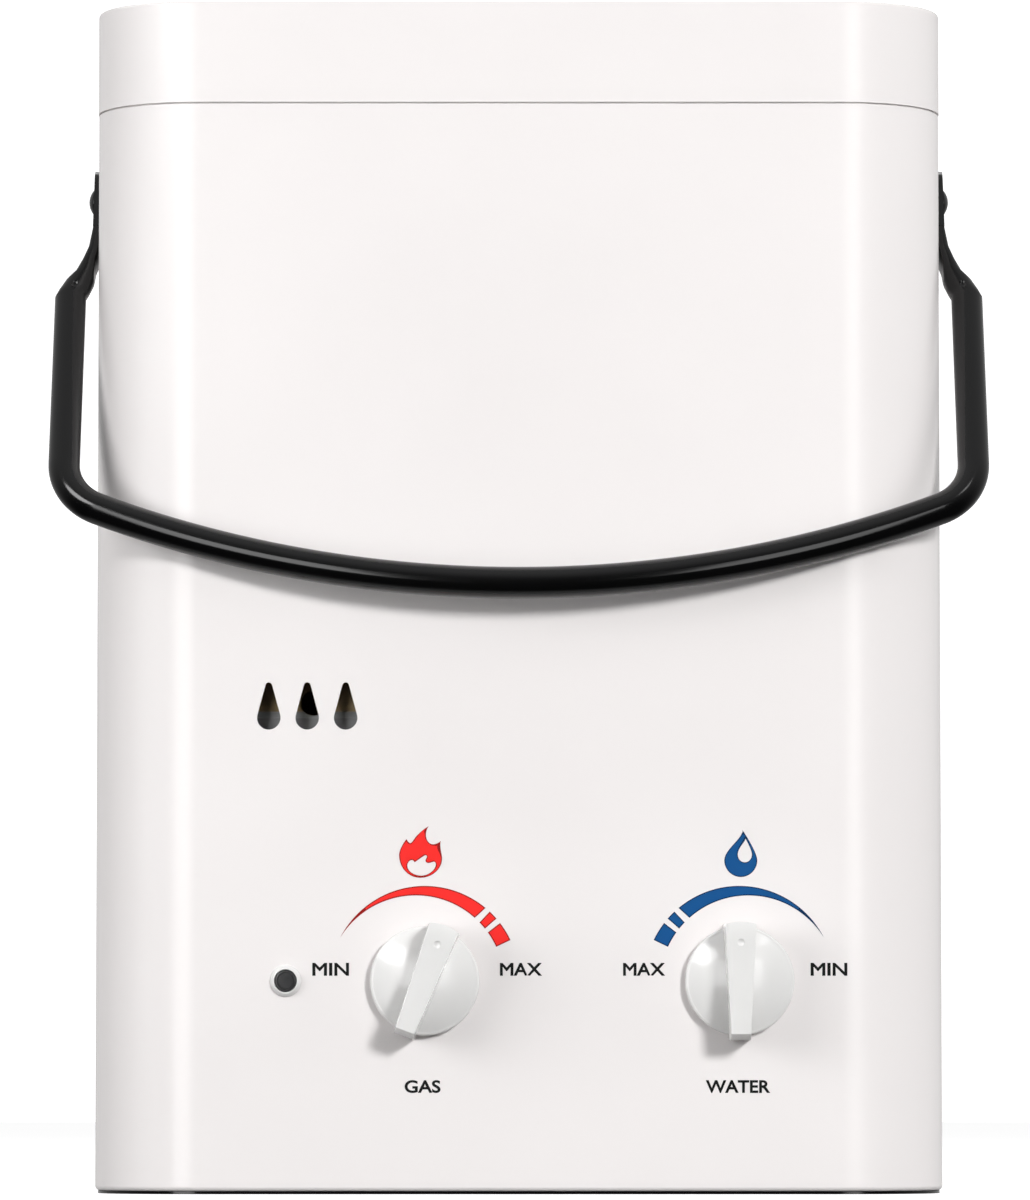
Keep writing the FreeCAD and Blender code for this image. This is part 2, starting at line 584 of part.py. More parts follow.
def draw_circle(sketch, across, along, radius):
    """Draw a circle."""
    values = [as_size(value) for value in (across, along, radius)]
    centre = Vector(values[0].number, values[1].number, 0)
    item = sketch.addGeometry(Part.Circle(centre, Z_AXIS, values[2].number), False)
    hold_point(sketch, item, 3, across, along)
    hold(sketch, "Radius", radius, item)
    return sketch


def draw_capsule(sketch, first, second):
    """Draw the outline round two circles, each (across, along, radius)."""
    first = [as_size(value) for value in first]
    second = [as_size(value) for value in second]
    start = Vector(first[0].number, first[1].number, 0)
    end = Vector(second[0].number, second[1].number, 0)
    heading = math.atan2(end.y - start.y, end.x - start.x)
    lean = math.asin((first[2].number - second[2].number) / (end - start).Length)
    quarter = math.pi / 2
    spans = (
        (start, first[2].number, heading + quarter - lean, heading + 3 * quarter + lean),
        (end, second[2].number, heading - quarter + lean, heading + quarter - lean),
    )
    arcs = []
    ends = []
    for centre, radius, begin, finish in spans:
        arc = Part.ArcOfCircle(Part.Circle(centre, Z_AXIS, radius), begin, finish)
        arcs.append(sketch.addGeometry(arc, False))
        ends.append([
            centre + Vector(math.cos(angle), math.sin(angle), 0) * radius
            for angle in (begin, finish)
        ])
    right = sketch.addGeometry(Part.LineSegment(ends[0][1], ends[1][0]), False)
    left = sketch.addGeometry(Part.LineSegment(ends[1][1], ends[0][0]), False)
    chain = (
        (arcs[0], 2, right, 1),
        (right, 2, arcs[1], 1),
        (arcs[1], 2, left, 1),
        (left, 2, arcs[0], 1),
    )
    for link in chain:
        sketch.addConstraint(Sketcher.Constraint("Tangent", *link))
    for arc, circle in zip(arcs, (first, second)):
        hold_point(sketch, arc, 3, circle[0], circle[1])
        hold(sketch, "Radius", circle[2], arc)
    return sketch


def draw_hexagon(sketch, flats):
    """Draw a hexagon with two corners on the vertical axis."""
    half = as_size(flats) / 2
    point = half * (2 / math.sqrt(3))
    return draw(
        sketch,
        (0, -point), (half, -point / 2), (half, point / 2),
        (0, point), (-half, point / 2), (-half, -point / 2),
    )


def pad(body, sketch, length, against=False, taper=0):
    """Raise a sketch into solid."""
    feature = body.newObject("PartDesign::Pad", f"{body.Name}_pad")
    feature.Profile = sketch
    feature.Reversed = against
    feature.TaperAngle = taper
    bind(feature, "Length", length)
    doc.recompute()
    return feature


def pocket(body, sketch, length=None, against=False):
    """Cut a sketch into the solid, right through when no length is given."""
    feature = body.newObject("PartDesign::Pocket", f"{body.Name}_pocket")
    feature.Profile = sketch
    feature.Reversed = against
    if length is None:
        feature.Type = "ThroughAll"
    else:
        bind(feature, "Length", length)
    doc.recompute()
    return feature


def spin(body, sketch):
    """Revolve a sketch about its vertical axis."""
    feature = body.newObject("PartDesign::Revolution", f"{body.Name}_turning")
    feature.Profile = sketch
    feature.ReferenceAxis = (sketch, ["V_Axis"])
    feature.Angle = 360
    doc.recompute()
    return feature


def edges_where(feature, test):
    """List the names of a feature's edges that pass a test."""
    return [
        f"Edge{number}" for number, edge in enumerate(feature.Shape.Edges, 1) if test(edge)
    ]


def faces_where(feature, test):
    """List the names of a feature's faces that pass a test."""
    return [
        f"Face{number}" for number, face in enumerate(feature.Shape.Faces, 1) if test(face)
    ]


def round_edges(body, feature, test, radius):
    """Fillet the edges that pass a test."""
    fillet = body.newObject("PartDesign::Fillet", f"{body.Name}_fillet")
    fillet.Base = (feature, edges_where(feature, test))
    bind(fillet, "Radius", radius)
    doc.recompute()
    return fillet


def repeat(body, features, axis, pitch, count):
    """Repeat features along an axis of the body at an even pitch."""
    pattern = body.newObject("PartDesign::LinearPattern", f"{body.Name}_row")
    pattern.Originals = features
    pattern.Direction = (origin_item(body, axis), [""])
    pattern.Occurrences = count
    bind(pattern, "Length", as_size(pitch) * (count - 1))
    body.Tip = pattern
    doc.recompute()
    return pattern


def lies_at(height, slack=NEAR):
    """Test for edges or faces that lie flat at a height."""
    height = as_size(height).number

    def test(item):
        box = item.BoundBox
        return abs(box.ZMin - height) < slack and abs(box.ZMax - height) < slack

    return test


def casing_outline(sketch, inset):
    """Draw the closed casing outline with two round front corners, inset all round."""
    inset = as_size(inset)
    turn = size.corner_round
    left, right = -side + inset, side - inset
    return draw(
        sketch,
        (left, rear - inset),
        (left, front + turn, turn - inset),
        (-side + turn, front + inset),
        (side - turn, front + inset, turn - inset),
        (right, front + turn),
        (right, rear - inset),
    )


def wrap_outline(sketch, wide, back_edge):
    """Draw the casing's front and sides as a strip of a given width, open at the back."""
    wide = as_size(wide)
    turn = size.corner_round
    bend = turn - wide
    return draw(
        sketch,
        (-side, back_edge),
        (-side, front + turn, turn),
        (-side + turn, front),
        (side - turn, front, turn),
        (side, front + turn),
        (side, back_edge),
        (side - wide, back_edge),
        (side - wide, front + turn, -bend),
        (side - turn, front + wide),
        (-side + turn, front + wide, -bend),
        (-side + wide, front + turn),
        (-side + wide, back_edge),
    )


def turned(label, profile, at=(0, 0, 0), turn=UPRIGHT):
    """Turn a profile of (radius, height) corners about the sub-part's own Z axis."""
    body = new_body(label)
    spin(body, draw(sketch_on(body, "XZ_Plane"), *profile))
    return place(body, at, turn)


def block(label, low, high):
    """Make a box between two corners."""
    box = doc.addObject("Part::Box", label)
    spans = [as_size(b) - as_size(a) for a, b in zip(low, high)]
    for prop, span in zip(("Length", "Width", "Height"), spans):
        bind(box, prop, span)
    return place(box, low)


def rod(label, radius, length, at, turn=UPRIGHT):
    """Make a cylinder from a point along the turned Z axis."""
    cylinder = doc.addObject("Part::Cylinder", label)
    bind(cylinder, "Radius", radius)
    bind(cylinder, "Height", length)
    return place(cylinder, at, turn)


def joined(label, *pieces):
    """Fuse solids into one piece."""
    fusion = doc.addObject("Part::MultiFuse", label)
    fusion.Shapes = list(pieces)
    fusion.Refine = True
    return fusion


def less(label, base, *tools):
    """Cut solids out of a base."""
    tool = tools[0] if len(tools) == 1 else joined(f"{label}_tools", *tools)
    cut = doc.addObject("Part::Cut", label)
    cut.Base = base
    cut.Tool = tool
    return cut


def shaped(label, shape):
    """Hold a shape made from the sheet's numbers."""
    feature = doc.addObject("Part::Feature", label)
    feature.Shape = shape
    return named(feature, label)


def root(value):
    """Square root of a size."""
    value = as_size(value)
    return Size(math.sqrt(value.number), f"sqrt({value.text})")


def dome(reach, rise):
    """Radius of the dome that rises by one size over another, level at its crown."""
    reach, rise = as_size(reach), as_size(rise)
    return (reach * reach + rise * rise) / (rise * 2)


def numbers(*values):
    """Plain numbers of several sizes."""
    return [as_size(value).number for value in values]


def swept(points, bend, radius):
    """Sweep a round bar along straight runs joined by tangent arcs."""
    corners = [Vector(*numbers(*point)) for point in points]
    bend, radius = numbers(bend, radius)
    edges = []
    here = corners[0]
    for before, corner, after in zip(corners, corners[1:], corners[2:]):
        back = (before - corner).normalize()
        onward = (after - corner).normalize()
        half = back.getAngle(onward) / 2
        reach = bend / math.tan(half)
        start = corner + back * reach
        end = corner + onward * reach
        middle = (back + onward).normalize()
        crown = corner + middle * (bend / math.sin(half) - bend)
        if (start - here).Length > NEAR:
            edges.append(Part.LineSegment(here, start).toShape())
        edges.append(Part.Arc(start, crown, end).toShape())
        here = end
    edges.append(Part.LineSegment(here, corners[-1]).toShape())
    heading = corners[1] - corners[0]
    section = Part.Wire([Part.Circle(corners[0], heading, radius).toShape()])
    return Part.Wire(edges).makePipeShell([section], True, False)


SCREW_CROWN = 0.62


def screw(head, thick, shank, length):
    """A pan-headed screw whose head rests on z = 0 and whose shank points down."""
    head, thick, shank, length = numbers(head, thick, shank, length)
    crown = head * SCREW_CROWN
    profile = [
        Vector(0, 0, -length), Vector(shank, 0, -length), Vector(shank, 0, 0),
        Vector(head, 0, 0), Vector(crown, 0, thick), Vector(0, 0, thick),
        Vector(0, 0, -length),
    ]
    face = Part.Face(Part.makePolygon(profile))
    return face.revolve(Vector(), Z_AXIS, 360)


def copies(shape, spots, turn):
    """Copy a solid to several spots with one turn."""
    solids = []
    for spot in spots:
        solid = shape.copy()
        solid.Placement = Placement(Vector(*numbers(*spot)), turn)
        solids.append(solid)
    return Part.makeCompound(solids)


# ---------------------------------------------------------------- casing

COVER_SCREWS = 4
WINDOWS = 3
casing_screw_hole = size.casing_screw_round + size.slip
casing_screw_across = side - size.cover_steel - size.cover_flange / 2
casing_screw_pitch = (bracket_height - size.cover_screw_low) / (COVER_SCREWS - 1)
casing_screw_heights = [
    size.cover_screw_low + casing_screw_pitch * index for index in range(COVER_SCREWS)
]
cap_screw_spots = [size.cap_screw_pitch * index for index in (-1, 0, 1)]
cap_screw_height = cap_low + size.cap_screw_rise


def make_front_cover():
    """Painted steel wrap: the front, both round corners and both sides in one sheet,
    with a hem turned in at the foot and flanges turned in at the back."""
    body = new_body("front_cover")
    edge = rear - size.back_steel
    wall = size.cover_steel
    foot = size.cover_foot
    hem = wrap_outline(sketch_on(body, "XY_Plane", foot), size.cover_hem, edge)
    pad(body, hem, wall)
    upright = wrap_outline(sketch_on(body, "XY_Plane", foot), wall, edge)
    shell = pad(body, upright, cover_top - foot)
    for hand in (-1, 1):
        flange = sketch_on(body, "XY_Plane", foot)
        outer = hand * (side - wall / 2)
        inner = hand * (side - wall - size.cover_flange)
        left, right = (inner, outer) if hand > 0 else (outer, inner)
        draw_box(flange, left, edge - wall, right, edge)
        shell = pad(body, flange, collar_low - foot - size.flange_short)

    def on_foot(item):
        box = item.BoundBox
        outside = box.YMin < front.number + NEAR or abs(box.XMin) > side.number - NEAR
        return lies_at(foot)(item) and outside

    shell = round_edges(body, shell, on_foot, size.hem_bend)
    tip = window_height + size.window_tall
    window = draw_capsule(
        sketch_on(body, "XZ_Plane"),
        (size.window_left, window_height, size.window_round),
        (size.window_left, tip, size.window_tip),
    )
    window = pocket(body, window, against=True)
    repeat(body, [window], "X_Axis", size.window_pitch, WINDOWS)
    holes = sketch_on(body, "XZ_Plane")
    draw_circle(holes, size.gas_across, control_height, size.stem_window)
    draw_circle(holes, size.water_across, control_height, size.stem_window)
    button_hole = size.barrel_round + size.slip
    draw_circle(holes, size.button_across, control_height, button_hole)
    pocket(body, holes, against=True)
    pivots = sketch_on(body, "YZ_Plane")
    draw_circle(pivots, 0, pivot_height, size.pivot_bore)
    feature = pocket(body, pivots)
    feature.Midplane = True
    screws = sketch_on(body, "XZ_Plane")
    for height in casing_screw_heights:
        for hand in (-1, 1):
            draw_circle(screws, hand * casing_screw_across, height, casing_screw_hole)
    pocket(body, screws)
    return named(body, "front_cover")


BACK_SLOTS = 6


def make_back_panel():
    """Flat rear sheet with rows of air slots, screwed to the cover's flanges."""
    body = new_body("back_panel")
    width = side - size.back_inset
    gap = size.slip * 2
    sheet = sketch_on(body, "XZ_Plane", -rear)
    draw_box(sheet, -width, size.cover_foot + gap, width, cover_top - gap)
    pad(body, sheet, size.back_steel)
    holes = sketch_on(body, "XZ_Plane", -rear)
    for height in casing_screw_heights:
        for hand in (-1, 1):
            draw_circle(holes, hand * casing_screw_across, height, casing_screw_hole)
    pocket(body, holes, size.back_steel * 2, against=True)
    slots = sketch_on(body, "XZ_Plane", -rear)
    low, half, wide = deck + size.back_slot_rise, size.back_slot_half, size.slot_round
    for column in (-1, 0, 1):
        middle = column * size.back_slot_column
        draw_capsule(slots, (middle - half, low, wide), (middle + half, low, wide))
    slots = pocket(body, slots, size.back_steel * 2, against=True)
    repeat(body, [slots], "Z_Axis", size.back_slot_pitch, BACK_SLOTS)
    return named(body, "back_panel")


FLUE_SLOTS = 17


def make_rain_cap():
    """Closed cap over the flue, whose rear wall lets the exhaust out through slots."""
    body = new_body("rain_cap")
    block_out = casing_outline(sketch_on(body, "XY_Plane", cap_low), -size.cap_proud)
    solid = pad(body, block_out, size.cap_height)

    def top_edge(item):
        return lies_at(size.body_height)(item)

    def rear_upright(item):
        box = item.BoundBox
        tall = box.ZMax - box.ZMin > size.cap_height.number / 2
        return tall and box.YMin > rear.number

    solid = round_edges(body, solid, rear_upright, size.cap_steel + size.cap_proud)
    solid = round_edges(body, solid, top_edge, size.cap_round)
    hollow = body.newObject("PartDesign::Thickness", "rain_cap_hollow")
    hollow.Base = (solid, faces_where(solid, lies_at(cap_low)))
    bind(hollow, "Value", size.cap_steel)
    hollow.Reversed = True
    doc.recompute()
    slots = sketch_on(body, "XZ_Plane")
    low, high = cap_low + size.flue_slot_low, cap_low + size.flue_slot_high
    start, wide = -size.flue_slot_pitch * (FLUE_SLOTS - 1) / 2, size.flue_slot_round
    draw_capsule(slots, (start, low, wide), (start, high, wide))
    slots = pocket(body, slots)
    repeat(body, [slots], "X_Axis", size.flue_slot_pitch, FLUE_SLOTS)
    holes = sketch_on(body, "XZ_Plane")
    for across in cap_screw_spots:
        draw_circle(holes, across, cap_screw_height, casing_screw_hole)
    pocket(body, holes)
    return named(body, "rain_cap")


def make_top_collar():
    """Sheet collar inside the top of the casing that locates the cap."""
    body = new_body("top_collar")
    ring = casing_outline(sketch_on(body, "XY_Plane", collar_low), collar_inset)
    casing_outline(ring, collar_inset + size.collar_steel)
    pad(body, ring, collar_high - collar_low)
    holes = sketch_on(body, "XZ_Plane")
    for across in cap_screw_spots:
        draw_circle(holes, across, cap_screw_height, casing_screw_hole)
    pocket(body, holes)
    return named(body, "top_collar")


PAN_SLOTS = 4


def make_bottom_pan():
    """Black pan: a flat rim that stands on the floor, upright walls and a raised deck
    with the holes for the fittings and the battery door."""
    body = new_body("bottom_pan")
    wall = size.pan_steel
    rim = casing_outline(sketch_on(body, "XY_Plane"), size.pan_inset)
    pad(body, rim, wall)
    tub = casing_outline(sketch_on(body, "XY_Plane"), size.pan_rim)
    solid = pad(body, tub, deck)
    solid = round_edges(body, solid, lies_at(deck), size.deck_bend)
    hollow = casing_outline(sketch_on(body, "XY_Plane"), size.pan_rim + wall)
    solid = pocket(body, hollow, size.pan_rise, against=True)
    solid = round_edges(body, solid, lies_at(size.pan_rise), size.deck_bend - wall)
    holes = sketch_on(body, "XY_Plane")
    play = size.fitting_hole
    draw_circle(holes, size.gas_across, size.gas_inlet_depth, size.gas_inlet_round + play)
    draw_circle(holes, size.water_across, size.water_depth, size.water_inlet_round + play)
    draw_circle(holes, size.outlet_across, size.outlet_depth, size.outlet_round + play)
    draw_circle(holes, drain_across, size.water_depth, size.drain_round + play)
    draw_box(
        holes,
        size.battery_across - battery_half, size.battery_depth - battery_deep,
        size.battery_across + battery_half, size.battery_depth + battery_deep,
    )
    pocket(body, holes, against=True)
    slots = sketch_on(body, "XY_Plane")
    first = -size.slot_pitch * (PAN_SLOTS - 1) / 2
    for depth in (-size.pan_slot_depth, size.pan_slot_depth):
        begin = (first - size.pan_slot_half, depth, size.slot_round)
        finish = (first + size.pan_slot_half, depth, size.slot_round)
        draw_capsule(slots, begin, finish)
    slots = pocket(body, slots, against=True)
    repeat(body, [slots], "X_Axis", size.slot_pitch, PAN_SLOTS)
    return named(body, "bottom_pan")


def make_wall_bracket():
    """Hat-section bracket on the back whose web takes two wall screws."""
    body = new_body("wall_bracket")
    steel = size.bracket_steel
    out, seat = rear + size.bracket_stand, rear + steel
    low, high = bracket_height - size.bracket_web / 2, bracket_height + size.bracket_web / 2
    foot, head = low - size.bracket_flange, high + size.bracket_flange
    slope, within = size.bracket_slope, steel * 0.75
    section = sketch_on(body, "YZ_Plane", -size.bracket_width / 2)
    draw(
        section,
        (rear, foot), (seat, foot), (seat, low), (out, low + slope),
        (out, high - slope), (seat, high), (seat, head), (rear, head),
        (rear, high - within), (out - steel, high - slope - within),
        (out - steel, low + slope + within), (rear, low + within),
    )
    pad(body, section, size.bracket_width)
    holes = sketch_on(body, "XZ_Plane", -out)
    for hand in (-1, 1):
        across = hand * size.bracket_holes / 2
        draw_circle(holes, across, bracket_height, size.bracket_hole)
    pocket(body, holes, steel * 1.5, against=True)
    return named(body, "wall_bracket")


def make_screws():
    """Screws of the casing and of the cap."""
    plain = screw(
        size.casing_screw_head, size.casing_screw_rise,
        size.casing_screw_round, size.casing_screw_long,
    )
    spots = [
        (hand * casing_screw_across, rear, height)
        for height in casing_screw_heights
        for hand in (-1, 1)
    ]
    shaped("casing_screws", copies(plain, spots, TO_REAR))
    back = rear + size.cap_proud
    spots = [(across, back, cap_screw_height) for across in cap_screw_spots]
    shaped("cap_screws", copies(plain, spots, TO_REAR))


# ---------------------------------------------------------------- carrying handle

tab_inner = side + size.washer_thick + size.pivot_play
tab_outer = tab_inner + size.tab_thick
# Sections of the swelling: share of its length, how far its inner and outer faces have
# left the tab's, and its width.
SWELLING = ((0.35, 0, 4.2, 15.4), (0.67, 1.6, 8.9, 12.9))
# Height of the tab's round end as a share of half its width.
TAB_END = 0.75


def draw_section(body, hand, drop, inner, outer, wide):
    """Draw one cross-section of the swelling between tab and tube on one side."""
    radius = (outer - inner) / 2
    middle = hand * (inner + radius)
    straight = as_size(wide) / 2 - radius
    sketch = sketch_on(body, "XY_Plane", -as_size(drop))
    return draw_capsule(sketch, (middle, -straight, radius), (middle, straight, radius))


def add_swelling(body, hand):
    """Join the round tube to the place where its end is flattened."""
    swell = size.arm_top - size.tab_bend
    flat = size.tab_bend
    tube_inner = arm_across - size.handle_tube + OVERLAP
    tube_outer = arm_across + size.handle_tube - OVERLAP
    tube_wide = size.handle_tube * 2 - OVERLAP
    spans = [(flat, tab_inner, tab_outer, size.tab_wide)]
    for share, near_out, far_out, wide in SWELLING:
        spans.append((flat + swell * share, tab_inner + near_out, tab_outer + far_out, wide))
    spans.append((size.arm_top + PAST, tube_inner, tube_outer, tube_wide))
    sections = [draw_section(body, hand, *span) for span in spans]
    loft = body.newObject("PartDesign::AdditiveLoft", "bail_handle_swelling")
    loft.Ruled = True
    loft.Profile = sections[0]
    loft.Sections = sections[1:]
    doc.recompute()


def add_tab(body, hand):
    """Add the flattened end of the tube and its pivot hole."""
    flat = size.tab_bend
    half = size.tab_wide / 2
    crown = half * TAB_END
    shoulder = size.tab_rise - crown
    end = draw(
        sketch_on(body, "YZ_Plane", hand * tab_inner),
        (-half, -flat), (half, -flat),
        (half, shoulder, dome(half, crown)), (-half, shoulder),
    )
    pad(body, end, size.tab_thick, against=hand < 0)
    hole = sketch_on(body, "YZ_Plane", hand * (tab_inner - PAST))
    draw_circle(hole, 0, 0, size.pivot_bore)
    pocket(body, hole, size.tab_thick + PAST * 2, against=hand > 0)


def make_bail_handle():
    """Bent tube with a shallow bow, whose ends are flattened and pierced for the pivots.
    It is drawn hanging from the origin and then leant forward to its rest."""
    body = new_body("bail_handle")
    path = sketch_on(body, "XZ_Plane")
    arm, turn, bow = arm_across, size.bend_round, bow_round
    bow_centre = bow - size.bow_drop
    reach = bow.number - turn.number
    inner = arm.number - turn.number
    fall = math.sqrt(reach**2 - inner**2)
    bend_low = bow_centre.number - fall
    lean = math.atan2(-fall, inner)
    arcs = []
    sides = []
    for hand in (1, -1):
        begin = Vector(hand * arm.number, -size.arm_top.number, 0)
        finish = Vector(hand * arm.number, bend_low, 0)
        sides.append(path.addGeometry(Part.LineSegment(begin, finish), False))
        circle = Part.Circle(Vector(hand * inner, bend_low, 0), Z_AXIS, turn.number)
        angles = (lean, 0) if hand > 0 else (math.pi, math.pi - lean)
        arcs.append(path.addGeometry(Part.ArcOfCircle(circle, *angles), False))
    circle = Part.Circle(Vector(0, bow_centre.number, 0), Z_AXIS, bow.number)
    bar = Part.ArcOfCircle(circle, math.pi - lean, 2 * math.pi + lean)
    cross = path.addGeometry(bar, False)
    chain = (
        (sides[0], 2, arcs[0], 2),
        (arcs[0], 1, cross, 2),
        (cross, 1, arcs[1], 2),
        (arcs[1], 1, sides[1], 2),
    )
    for link in chain:
        path.addConstraint(Sketcher.Constraint("Tangent", *link))
    for hand, item in zip((1, -1), sides):
        hold_point(path, item, 1, hand * arm, -size.arm_top)
        path.addConstraint(Sketcher.Constraint("Vertical", item))
    hold(path, "Radius", turn, arcs[0])
    hold(path, "Radius", turn, arcs[1])
    hold_point(path, cross, 3, 0, bow_centre)
    hold(path, "Radius", bow, cross)
    section = sketch_on(body, "XY_Plane", -size.arm_top)
    draw_circle(section, arm, 0, size.handle_tube)
    doc.recompute()
    tube = body.newObject("PartDesign::AdditivePipe", "bail_handle_tube")
    tube.Profile = section
    tube.Spine = (path, [])
    doc.recompute()
    for hand in (1, -1):
        add_swelling(body, hand)
    for hand in (1, -1):
        add_tab(body, hand)
    corner = side.number - size.corner_round.number
    rise = bow.number - math.sqrt(bow.number**2 - corner**2)
    forward = (size.handle_tube + size.handle_rest - front).number
    lean = math.asin(forward / (size.bow_drop.number - rise))
    tilt = Rotation(X_AXIS, -math.degrees(lean))
    place(body, (0, 0, pivot_height), tilt)
    return named(body, "bail_handle")


def make_pivots():
    """Shoulder screws, washers and nut plates on which the handle swings."""
    plate, nut_thick = size.nut_plate, size.weld_nut_thick
    wall = size.cover_steel
    thread, tip = size.pivot_thread, size.pivot_thread_long
    head = tip + tab_outer + size.pivot_play - side + wall
    edge = head + size.pivot_edge
    crown = dome(size.pivot_head, size.pivot_dome - size.pivot_edge)
    profile = [
        (0, 0), (thread, 0), (thread, tip), (size.pivot_round, tip),
        (size.pivot_round, head), (size.pivot_head, head), (size.pivot_head, edge, crown),
        (0, head + size.pivot_dome),
    ]
    ring = [
        (size.pivot_bore, 0), (size.washer_round, 0),
        (size.washer_round, size.washer_thick), (size.pivot_bore, size.washer_thick),
    ]
    deep = size.nut_plate_half
    screws = []
    rings = []
    plates = []
    for hand, turn in ((1, TO_RIGHT), (-1, TO_LEFT)):
        inner_end = (hand * (side - wall - tip), 0, pivot_height)
        screws.append(turned(f"pivot_screw_{len(screws)}", profile, inner_end, turn))
        at = (hand * side, 0, pivot_height)
        rings.append(turned(f"washer_{len(rings)}", ring, at, turn))
        outer = side - wall
        inner = outer - plate
        left, right = (inner, outer) if hand > 0 else (-outer, -inner)
        sheet = block(
            f"nut_plate_{len(plates)}",
            (left, -deep, pivot_height - deep), (right, deep, pivot_height + size.nut_plate_rise),
        )
        nut_at = (hand * (inner - nut_thick), 0, pivot_height)
        nut = rod(f"weld_nut_{len(plates)}", size.weld_nut_round, nut_thick, nut_at, turn)
        bore_at = (hand * (inner - nut_thick - PAST), 0, pivot_height)
        bore_long = nut_thick + plate + PAST * 2
        bore = rod(f"nut_bore_{len(plates)}", thread + size.slip, bore_long, bore_at, turn)
        solid = joined(f"nut_plate_solid_{len(plates)}", sheet, nut)
        plates.append(less(f"nut_plate_drilled_{len(plates)}", solid, bore))
    named(group("pivot_screws", screws), "pivot_screws")
    named(group("pivot_washers", rings), "pivot_washers")
    named(group("pivot_nut_plates", plates), "pivot_nut_plates")


def group(label, pieces):
    """Hold like pieces together as one node of separate solids."""
    compound = doc.addObject("Part::Compound", label)
    compound.Links = list(pieces)
    return compound


# ---------------------------------------------------------------- controls


def make_knob(label, across, turn_angle):
    """Domed knob with a rolled skirt and a tapered grip that points to the scale.
    It is drawn facing up, with its pointer along +Y."""
    body = new_body(label)
    skirt, crown, rim = size.knob_round, size.knob_dome, size.knob_rim
    base = size.knob_gap
    edge = rim - size.knob_edge_tall
    inside = skirt - size.knob_edge_wide
    disc = draw(
        sketch_on(body, "XZ_Plane"),
        (0, base), (skirt - size.knob_foot, base), (skirt, base + size.knob_foot_rise),
        (skirt, edge, size.knob_edge), (inside, rim, dome(inside, crown - rim)), (0, crown),
    )
    spin(body, disc)
    wide, narrow = size.grip_wide / 2, size.grip_narrow / 2
    point, tail, high = size.grip_point, -size.grip_tail, size.grip_high
    foot = base + size.grip_foot
    shoulder = point - size.grip_shoulder
    grip = draw(
        sketch_on(body, "XY_Plane", foot),
        (-narrow, tail), (narrow, tail), (wide, shoulder, point), (-wide, shoulder),
    )
    solid = pad(body, grip, high - foot, taper=-size.grip_draft.number)
    back, drop = size.tail_set, size.tail_drop
    slope = draw(
        sketch_on(body, "YZ_Plane"),
        (tail - back, high - drop * 2), (tail + back * 2, high + drop),
        (tail - back, high + drop),
    )
    solid = pocket(body, slope)
    solid.Midplane = True
    past = point + size.nose_past
    fall = point - size.nose_long
    nose = draw(
        sketch_on(body, "YZ_Plane"),
        (fall - size.nose_past, high + PAST), (fall, high, -size.nose_round),
        (past, high - size.nose_fall), (past, high + PAST),
    )
    solid = pocket(body, nose)
    solid.Midplane = True
    doc.recompute()

    def grip_top(item):
        box = item.BoundBox
        return box.ZMin > high.number - NEAR and box.YLength > size.grip_wide.number

    solid = round_edges(body, solid, grip_top, size.grip_edge)
    dimple = sketch_on(body, "XY_Plane", high)
    draw_circle(dimple, 0, size.dimple_along, size.dimple_round)
    pocket(body, dimple, size.dimple_deep)
    bore = size.stem_round + size.stem_fit
    flat = size.stem_flat + size.stem_fit
    corner = root(bore * bore - flat * flat)
    socket = draw(
        sketch_on(body, "XY_Plane", base),
        (-corner, flat, bore), (-bore, 0, bore), (0, -bore, bore), (bore, 0, bore),
        (corner, flat),
    )
    pocket(body, socket, size.stem_seat, against=True)
    turn = TO_FRONT.multiply(Rotation(Z_AXIS, -turn_angle))
    place(body, (across, front, control_height), turn)
    return named(body, label)


def make_stem(label, across, turn_angle):
    """Round stem with a flat where the knob fits."""
    tail = rear - size.valve_front + size.stem_seat - size.stem_play * 2
    tip = size.knob_gap + size.stem_seat - size.slip * 2
    body = new_body(label)
    radius, chamfer = size.stem_round, size.stem_chamfer
    profile = draw(
        sketch_on(body, "XZ_Plane"),
        (0, -tail), (radius, -tail), (radius, tip - chamfer), (radius - chamfer, tip), (0, tip),
    )
    spin(body, profile)
    flat = sketch_on(body, "XY_Plane", size.knob_gap - PAST)
    reach = radius + PAST
    draw_box(flat, -reach, size.stem_flat, reach, reach)
    pocket(body, flat, size.stem_seat + PAST * 2, against=True)
    turn = TO_FRONT.multiply(Rotation(Z_AXIS, -turn_angle))
    place(body, (across, front, control_height), turn)
    return named(body, label)


def make_power_button():
    """Push button in its bevelled ring, with the nut and the switch behind the cover."""
    at = (size.button_across, front, control_height)
    ring, bore, high = size.bezel_round, size.bezel_bore, size.bezel_high
    profile = [
        (bore, -size.barrel_long), (size.barrel_round, -size.barrel_long),
        (size.barrel_round, 0), (ring, 0), (ring, size.bezel_edge),
        (ring - size.bezel_slope, high), (bore, high),
    ]
    named(turned("button_bezel", profile, at, TO_FRONT), "button_bezel")
    low = size.button_travel + size.button_slack - size.barrel_long
    radius, crown, edge = size.button_round, size.button_high, size.button_edge
    profile = [
        (0, low), (radius, low), (radius, crown - edge * 2),
        (radius - edge, crown - edge, dome(radius - edge, edge)), (0, crown),
    ]
    named(turned("power_button", profile, at, TO_FRONT), "power_button")
    nut = new_body("button_nut")
    hexagon = draw_hexagon(sketch_on(nut, "XY_Plane"), size.button_nut_flats)
    draw_circle(hexagon, 0, 0, size.barrel_round + size.stem_fit)
    pad(nut, hexagon, size.button_nut_thick)
    behind = front + size.cover_steel + size.button_nut_thick
    place(nut, (size.button_across, behind, control_height), TO_FRONT)
    named(nut, "button_nut")
    start, half = front + size.barrel_long, size.switch_half
    switch = block(
        "power_switch",
        (size.button_across - half, start, control_height - half),
        (size.button_across + half, start + size.switch_deep, control_height + half),
    )
    named(switch, "power_switch")


# ---------------------------------------------------------------- fittings under the pan


